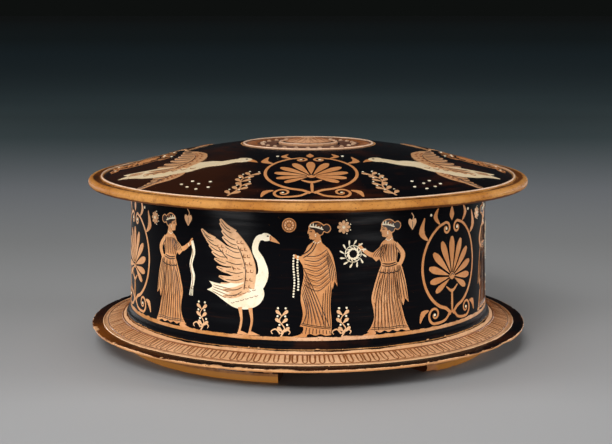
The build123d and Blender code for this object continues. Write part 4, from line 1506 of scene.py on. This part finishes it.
friezeLook = dict(
    middle=93.7,  # radius at which the drawn widths are true
    start=-84.0,  # where the first motif's left edge stands, in degrees from the front
    grid=(1.8, 6.0),
    row=[  # reach is a motif's width to each side; field is what stands past its right edge
        dict(motif="palmette", reach=(-22.5, 22.5), field=[("rosette", 4.5, 51.0)]),
        dict(motif="dress", gift="sash", reach=(-12.0, 16.0),
             field=[("ivy", -4.0, 53.0), ("plant", 4.0, 0.0)]),
        dict(motif="swan", reach=(-21.0, 18.0), field=[("dish", 4.0, 53.0), ("plant", 0.0, 0.0)]),
        dict(motif="mantle", gift="beads", flip=True, reach=(-10.5, 11.0),
             field=[("rosette", 2.0, 52.0), ("plant", 1.0, 0.0)]),
        dict(motif="dress", gift="wreath", flip=True, reach=(-18.0, 12.0), field=[("ivy", 1.5, 52.0)]),
        dict(motif="palmette", reach=(-22.5, 22.5), field=[("rosette", 4.5, 51.0)]),
        dict(motif="dress", gift="beads", reach=(-12.0, 16.0),
             field=[("dish", 2.0, 52.5), ("plant", 1.0, 0.0)]),
        dict(motif="mantle", gift="staff", flip=True, reach=(-12.0, 10.5),
             field=[("ivy", 7.0, 52.0), ("plant", 6.0, 0.0)]),
        dict(motif="swan", flip=True, reach=(-18.0, 21.0),
             field=[("rosette", 10.0, 53.0), ("plant", 2.0, 0.0)]),
        dict(motif="dress", gift="casket", flip=True, reach=(-20.0, 12.0), field=[("ivy", 1.5, 52.0)]),
        dict(motif="palmette", reach=(-22.5, 22.5), field=[("rosette", 3.0, 51.0)]),
        dict(motif="mantle", gift="staff", reach=(-10.5, 12.0),
             field=[("dish", 6.0, 52.0), ("plant", 4.0, 0.0)]),
        dict(motif="dress", gift="sash", flip=True, reach=(-16.0, 12.0),
             field=[("ivy", -4.0, 53.0), ("plant", 6.0, 0.0)]),
        dict(motif="swan", reach=(-21.0, 18.0), field=[("rosette", 4.0, 53.0), ("plant", 1.0, 0.0)]),
        dict(motif="dress", gift="casket", flip=True, reach=(-20.0, 12.0), field=[("dish", 2.0, 51.0)]),
    ],
)
friezeMotifs = dict(palmette=drawPalmette, swan=drawSwan, dress=drawDress, mantle=drawMantle)
fieldMotifs = dict(rosette=drawRosette, ivy=drawIvy, dish=drawDish, plant=drawPlant)


def wallPoint(along, height, lift):
    angle = along / friezeLook["middle"] - math.pi / 2
    z = mouldingTop + wallLook["groundLine"] + height
    r = wallRadiusAt(z) + lift
    r += wander(angle, z) * r / 100
    return r * math.cos(angle) * mm, r * math.sin(angle) * mm, z * mm


def makeFrieze():
    look = friezeLook
    around = math.tau * look["middle"]
    widths = [entry["reach"][1] - entry["reach"][0] for entry in look["row"]]
    gap = (around - sum(widths)) / len(widths)
    edge = math.radians(look["start"]) * look["middle"]
    trays = emptyTrays()
    drops = []
    known = {}
    draw = random.Random(8)
    for entry, width in zip(look["row"], widths):
        gift = [entry["gift"]] if "gift" in entry else []
        key = (entry["motif"], *gift)
        if key not in known:
            known[key] = layMotif(friezeMotifs[entry["motif"]](*gift), look["grid"])
        centre = edge - entry["reach"][0]
        side = -1 if entry.get("flip") else 1
        put = lambda x, y, lift: wallPoint(centre + x * side, y, lift)
        layDown(trays, drops, known[key], put, draw.random())
        edge += width + gap
        for kind, aside, height in entry["field"]:
            if kind not in known:
                known[kind] = layMotif(fieldMotifs[kind](), look["grid"])
            spot = edge - gap + aside
            put = lambda x, y, lift: wallPoint(spot + x, height + y, lift)
            layDown(trays, drops, known[kind], put, draw.random())
    makePaint("frieze", "box", trays, drops)
    print("frieze:", len(look["row"]), "motifs,", round(gap, 1), "mm apart")


# dome: birds in flight, palmettes and sprays round the medallion

domeRow = dict(
    grid=(3.0, 3.0),
    front=-89.0,
    tone=(0.8, 1.4),  # range of the tone that darkens the paint on the lid, one value per motif
    half=[  # laid once in front and once behind; aside is in degrees
        dict(motif="palmette", aside=0.0, foot=104.0),
        dict(motif="bird", aside=-45.0, foot=84.0),
        dict(motif="bird", aside=45.0, foot=84.0, flip=True),
        dict(motif="spray", aside=-22.0, foot=104.0),
        dict(motif="spray", aside=22.0, foot=104.0, flip=True),
        dict(motif="berries", aside=-35.0, foot=97.0),
        dict(motif="berries", aside=35.0, foot=97.0, flip=True),
        dict(motif="smallPalmette", aside=90.0, foot=104.0),
    ],
)


def domePoint(angle, foot, x, y, lift):  # y runs from the foot circle up to the crown
    px = (foot - y) * math.cos(angle) - x * math.sin(angle)
    py = (foot - y) * math.sin(angle) + x * math.cos(angle)
    r = math.hypot(px, py)
    turn = math.atan2(py, px)
    z = domeHeight(r)
    r += wander(turn, z) * r / 100
    return r * math.cos(turn) * mm, r * math.sin(turn) * mm, (z + lift) * mm


def makeDomePaint():
    look = domeRow
    trays = emptyTrays()
    drops = []
    draw = random.Random(14)
    scatter = [(-8.0, 1.0), (-4.6, 5.2), (-2.6, -1.4), (0.8, 3.0), (3.6, -2.6), (5.2, 6.4), (8.4, 0.6)]
    motifs = dict(
        palmette=place(drawPalmette(), scale=1.04),
        smallPalmette=place(drawPalmette(), scale=0.6),
        bird=place(drawFlyer(), x=-14.5, scale=1.28, turn=22.0),
        spray=place(drawSpray(21.7, 6), scale=1.15),
        berries=[dots(scatter, 0.85)],
    )
    known = {name: layMotif(shapes, look["grid"]) for name, shapes in motifs.items()}
    for half in (0.0, 180.0):
        for entry in look["half"]:
            angle = math.radians(look["front"] + entry["aside"] + half)
            side = -1 if entry.get("flip") else 1
            put = lambda x, y, lift: domePoint(angle, entry["foot"], x * side, y, lift)
            layDown(trays, drops, known[entry["motif"]], put, draw.uniform(*look["tone"]))
    makePaint("dome", "lid", trays, drops)


# tongue bands: one drawn tongue, turned round the axis by geometry nodes

tongueLook = dict(
    base=dict(count=25, group=6, inner=98.8, outer=105.9, outward=True, share=0.27, dart=0.0, jitter=0.003,
              width=1.15, stray=0.11, sink=0.8, sides=10, seed=3),
    medallion=dict(count=20, group=2, inner=26.6, outer=32.2, outward=False, share=0.36, dart=1.2,
                   jitter=0.012, width=0.5, stray=0.05, sink=0.0, sides=4, seed=7),
    boss=dict(count=8, group=2, inner=4.0, outer=12.6, outward=True, share=0.36, dart=0.0, jitter=0.01,
              width=0.3, stray=0.05, sink=0.0, sides=4, seed=9),
)


def tongueStrokes(look, heightAt):  # a few drawn tongues, each with two sides and a round end
    draw = random.Random(look["seed"])
    pitch = math.tau / look["count"] / look["group"]
    length = look["outer"] - look["inner"]
    root, way = (look["inner"], 1) if look["outward"] else (look["outer"], -1)
    verts = []
    edges = []
    sizes = []
    for number in range(look["group"]):
        middle = pitch * (number + draw.uniform(-look["stray"], look["stray"]))
        half = pitch * look["share"] * draw.uniform(0.9, 1.1)
        lean = pitch * draw.uniform(-look["stray"], look["stray"])
        reach = length * draw.uniform(0.92, 1.0)
        side = [(0.0, half), (0.36, half), (0.72, half)]
        turns = [math.pi * k / 6 for k in range(1, 6)]
        bend = [(0.72 + 0.28 * math.sin(a), half * math.cos(a)) for a in turns]
        lines = [(side + bend + [(t, -a) for t, a in reversed(side)], 1.0)]
        if look["dart"]:
            lines.append(([(0.06, 0.0), (0.3, 0.0), (0.56, 0.0)], look["dart"]))
        for line, width in lines:
            base = len(verts)
            weight = look["width"] / 2 * width * draw.uniform(0.8, 1.2)
            for t, a in line:
                r = root + way * reach * t
                turn = middle + a + lean * t
                size = weight * (1.25 - 0.55 * t)
                z = heightAt(r) + 0.03 - look["sink"] * size
                verts.append((r * math.cos(turn) * mm, r * math.sin(turn) * mm, z * mm))
                sizes.append(size * mm)
            edges += [(base + k, base + k + 1) for k in range(len(line) - 1)]
    return verts, edges, sizes


def makeTongues(name, key, body, heightAt):
    look = tongueLook[key]
    verts, edges, sizes = tongueStrokes(look, heightAt)
    piece = growPiece(name, verts, edges, dict(thickness=sizes), ringGroup, Count=look["count"],
                      Jitter=look["jitter"], Seed=look["seed"], Sides=look["sides"],
                      Material=paints["dilute"])
    settle(piece, body, paints["dilute"], paintSlots["dilute"])


def flangeSlope(radius):  # height of the ornament band on the base
    look = flangeLook
    outer = flangeRadius - look["bandWidth"] - look["ridgeWidth"]
    inner = mouldingRadius + look["shoulderWidth"]
    foot = flangeFoot + look["edgeHeight"] + look["bandRise"]
    return foot + (flangeTop - look["shoulderDrop"] - foot) * (outer - radius) / (outer - inner)


# thin lines drawn on the turning wheel; the two on ridge tops are painted highlights

ringLines = [
    dict(name="tongueLineInner", body="box", paint="dilute", radius=98.75, on="slope", width=0.9),
    dict(name="tongueLineOuter", body="box", paint="dilute", radius=106.5, on="slope", width=0.5),
    # painted highlights: pale lines along the tops of the base's ridge and the lid's ridge
    dict(name="ridgePaintedHighlight", body="box", paint="paleClay", radius=108.7, on="ridge", width=0.8),
    dict(name="lidRidgePaintedHighlight", body="lid", paint="pale", radius=108.05, on="rim", width=0.9),
    dict(name="medallionPaleLine", body="lid", paint="pale", radius=33.85, on="medallion", width=1.0),
    dict(name="bossPaleLine", body="lid", paint="pale", radius=14.85, on="boss", width=0.8),
]


def lineHeight(look):
    ridge = flangeFoot + flangeLook["edgeHeight"] + flangeLook["bandRise"] + flangeLook["ridgeRise"]
    bossRing = bossFoot + bossLook["edge"] + bossLook["ringRise"]
    heights = dict(slope=flangeSlope(look["radius"]), ridge=ridge - 0.15, rim=rimTop - 0.1,
                   medallion=medallionTop - 0.1, boss=bossRing - 0.05)
    return heights[look["on"]]


def makeRingLines():
    draw = random.Random(31)
    count = 360
    for look in ringLines:
        phase = draw.uniform(0, math.tau)
        z = lineHeight(look)
        verts = []
        sizes = []
        for k in range(count):
            angle = math.tau * k / count
            r = look["radius"] + 0.08 * math.sin(7 * angle + phase)
            r += wander(angle, z) * r / 100
            verts.append((r * math.cos(angle) * mm, r * math.sin(angle) * mm, z * mm))
            sizes.append(look["width"] / 2 * (1 + 0.25 * noise.noise(Vector((angle * 6, phase, 0)))) * mm)
        sizes[-1] = sizes[0]
        edges = [(k, (k + 1) % count) for k in range(count)]
        piece = growPiece(look["name"], verts, edges, dict(thickness=sizes), threadGroup, Sides=6,
                          Material=paints[look["paint"]])
        settle(piece, look["body"], paints[look["paint"]], paintSlots[look["paint"]])


# pellets: small balls of clay pressed on to the medallion, in added white

def makePellets():
    low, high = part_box("medallion_pellets")
    ring = (bossRadius + medallionRadius - medallionLook["ringWidth"]) / 2
    radius = high.x / mm - ring
    tall = (high.z - low.z) / mm
    draw = random.Random(23)
    count = 24
    spots = []
    for k in range(count):
        angle = math.tau * k / count + draw.uniform(-0.02, 0.02)
        spots.append((ring * math.cos(angle) * mm, ring * math.sin(angle) * mm, low.z))
    sizes = [radius * draw.uniform(0.86, 1.0) * mm for _ in range(count)]
    heights = [tall * draw.uniform(0.85, 1.0) * mm for _ in range(count)]
    values = dict(thickness=sizes, tall=heights, outward=[(0.0, 0.0, 1.0)] * count)
    piece = growPiece("medallionPellets", spots, [], values, dropGroup, Round=16, Rows=10,
                      Material=paints["pellet"])
    settle(piece, "lid", paints["pellet"], "cream_slip", "medallion_pellets")


makeFrieze()
makeDomePaint()
makeTongues("baseTongues", "base", "box", flangeSlope)
makeTongues("medallionTongues", "medallion", "lid", lambda radius: medallionFoot + medallionLook["field"])
makeTongues("bossTongues", "boss", "lid", bossHeight)
makeRingLines()
makePellets()
print("paint laid")


# stage: a floor painted with light falloff (pale near the pot, tones that change with distance behind it,
# dark at the sides), soft lamps and the camera

floorFalloffLook = dict(
    light=srgb(186, 186, 186),
    grey=srgb(180, 180, 181),
    start=-0.13,  # where the tones begin to change, in metres behind the middle of the pot
    behind=[  # metres behind the middle, and the colour there
        (0.09, srgb(156, 156, 156)),
        (0.3, srgb(143, 144, 144)),
        (0.6, srgb(139, 143, 148)),
        (1.15, srgb(94, 116, 120)),
        (1.5, srgb(108, 132, 136)),
        (2.0, srgb(156, 188, 194)),
        (4.5, srgb(146, 184, 194)),
        (7.0, srgb(128, 156, 158)),
        (20.0, srgb(112, 121, 115)),
    ],
    sides=(0.3, 1.1),  # painted falloff to dark between these, in metres to each side
    flare=0.35,  # how much wider the painted lit area is for each metre further back
    front=0.9,  # a metre forwards counts as this much to the side
    paintedFalloffDark=srgb(8, 9, 9),  # painted dark past the lit area
)


def makeStage():
    look = floorFalloffLook
    bpy.ops.mesh.primitive_plane_add(size=60)
    ground = bpy.context.object
    ground.name = "paleFloor"
    material, tree, shader = newMaterial("paleFloor")
    tone = mixColour(tree, grain(tree, objectPoint(tree), 0.8, 2.0), look["grey"], look["light"])
    # painted light falloff: the floor's colour changes with distance behind the pot and goes dark to the
    # sides
    spot = addNode(tree, "SeparateXYZ")
    wire(tree, objectPoint(tree), spot.inputs[0])
    across, back = spot.outputs[0], spot.outputs[1]
    near = look["start"]
    for far, colour in look["behind"]:
        share = addNode(tree, "MapRange")
        wire(tree, back, share.inputs["Value"])
        share.inputs["From Min"].default_value = near
        share.inputs["From Max"].default_value = far
        tone = mixColour(tree, share.outputs[0], tone, colour)
        near = far
    aside = math2(tree, "ABSOLUTE", across)
    aside = math2(tree, "SUBTRACT", aside, math2(tree, "MULTIPLY", back, look["flare"]))
    aside = math2(tree, "MAXIMUM", aside, math2(tree, "MULTIPLY", back, -look["front"]))
    tone = mixColour(tree, ramp(tree, aside, *look["sides"]), tone, look["paintedFalloffDark"])
    tree.links.new(tone, shader.inputs["Base Color"])
    tree.links.new(ramp(tree, aside, *look["sides"], 0.5, 0.0), shader.inputs["Specular IOR Level"])
    shader.inputs["Roughness"].default_value = 0.85
    ground.data.materials.append(material)


lampLook = dict(
    overhead=dict(place=(-0.1, 0.05, 1.35), size=(1.0, 0.9), power=1.15, spread=84),
    frontHigh=dict(place=(-0.35, -1.2, 1.1), size=(0.8, 0.6), power=3.1, spread=80),
    frontLeft=dict(place=(-1.5, -1.4, 0.03), size=(0.9, 0.05), power=6.5, spread=110),
    frontRight=dict(place=(1.2, -1.6, 0.03), size=(0.9, 0.05), power=5.6, spread=110),
    sideRight=dict(place=(1.9, 0.05, 0.72), size=(0.8, 0.5), power=3.4, spread=100),
    sideLeft=dict(place=(-1.9, 0.05, 0.72), size=(0.8, 0.5), power=2.6, spread=100),
    rearLeft=dict(place=(-1.6, 1.5, 0.11), size=(0.9, 0.18), power=3.0, spread=110),
    rearRight=dict(place=(1.6, 1.5, 0.11), size=(0.9, 0.18), power=3.0, spread=110),
)


def makeLights():
    aim = Vector((0, 0, 0.05))
    for name, look in lampLook.items():
        light = bpy.data.lights.new(name, "AREA")
        light.shape = "RECTANGLE"
        light.size, light.size_y = look["size"]
        light.energy = look["power"]
        light.spread = math.radians(look["spread"])
        lamp = bpy.data.objects.new(name, light)
        lamp.location = look["place"]
        lamp.rotation_euler = (aim - lamp.location).to_track_quat("-Z", "Y").to_euler()
        bpy.context.scene.collection.objects.link(lamp)


roomLook = dict(glow=(0.9, 0.93, 1.0, 1.0), strength=0.024, above=srgb(14, 16, 15))


def makeRoom():  # a faint even light, and a dark wall above the floor
    look = roomLook
    world = bpy.data.worlds.new("studio")
    world.use_nodes = True
    tree = world.node_tree
    glow = tree.nodes["Background"]
    glow.inputs["Color"].default_value = look["glow"]
    glow.inputs["Strength"].default_value = look["strength"]
    above = addNode(tree, "Background")
    above.inputs["Color"].default_value = look["above"]
    share = addNode(tree, "MixShader")
    wire(tree, addNode(tree, "LightPath").outputs["Is Camera Ray"], share.inputs[0])
    wire(tree, glow.outputs[0], share.inputs[1])
    wire(tree, above.outputs[0], share.inputs[2])
    wire(tree, share.outputs[0], tree.nodes["World Output"].inputs["Surface"])
    bpy.context.scene.world = world


cameraLook = dict(focalPixels=1374.0, frameWidth=612.0, sensor=36.0, away=723.1, height=174.56, tilt=8.85,
                  axisPixel=308.2)


def makeCamera():
    look = cameraLook
    data = bpy.data.cameras.new("photoView")
    data.sensor_width = look["sensor"]
    data.lens = look["sensor"] * look["focalPixels"] / look["frameWidth"]
    data.clip_end = 200
    camera = bpy.data.objects.new("photoView", data)
    aside = (look["frameWidth"] / 2 - look["axisPixel"]) / look["focalPixels"] * look["away"]
    camera.location = (aside * mm, -look["away"] * mm, look["height"] * mm)
    camera.rotation_euler = (math.radians(90 - look["tilt"]), 0, 0)
    bpy.context.scene.collection.objects.link(camera)
    bpy.context.scene.camera = camera


makeStage()
makeLights()
makeRoom()
makeCamera()
bpy.context.scene.view_settings.view_transform = "Standard"
print("stage set")
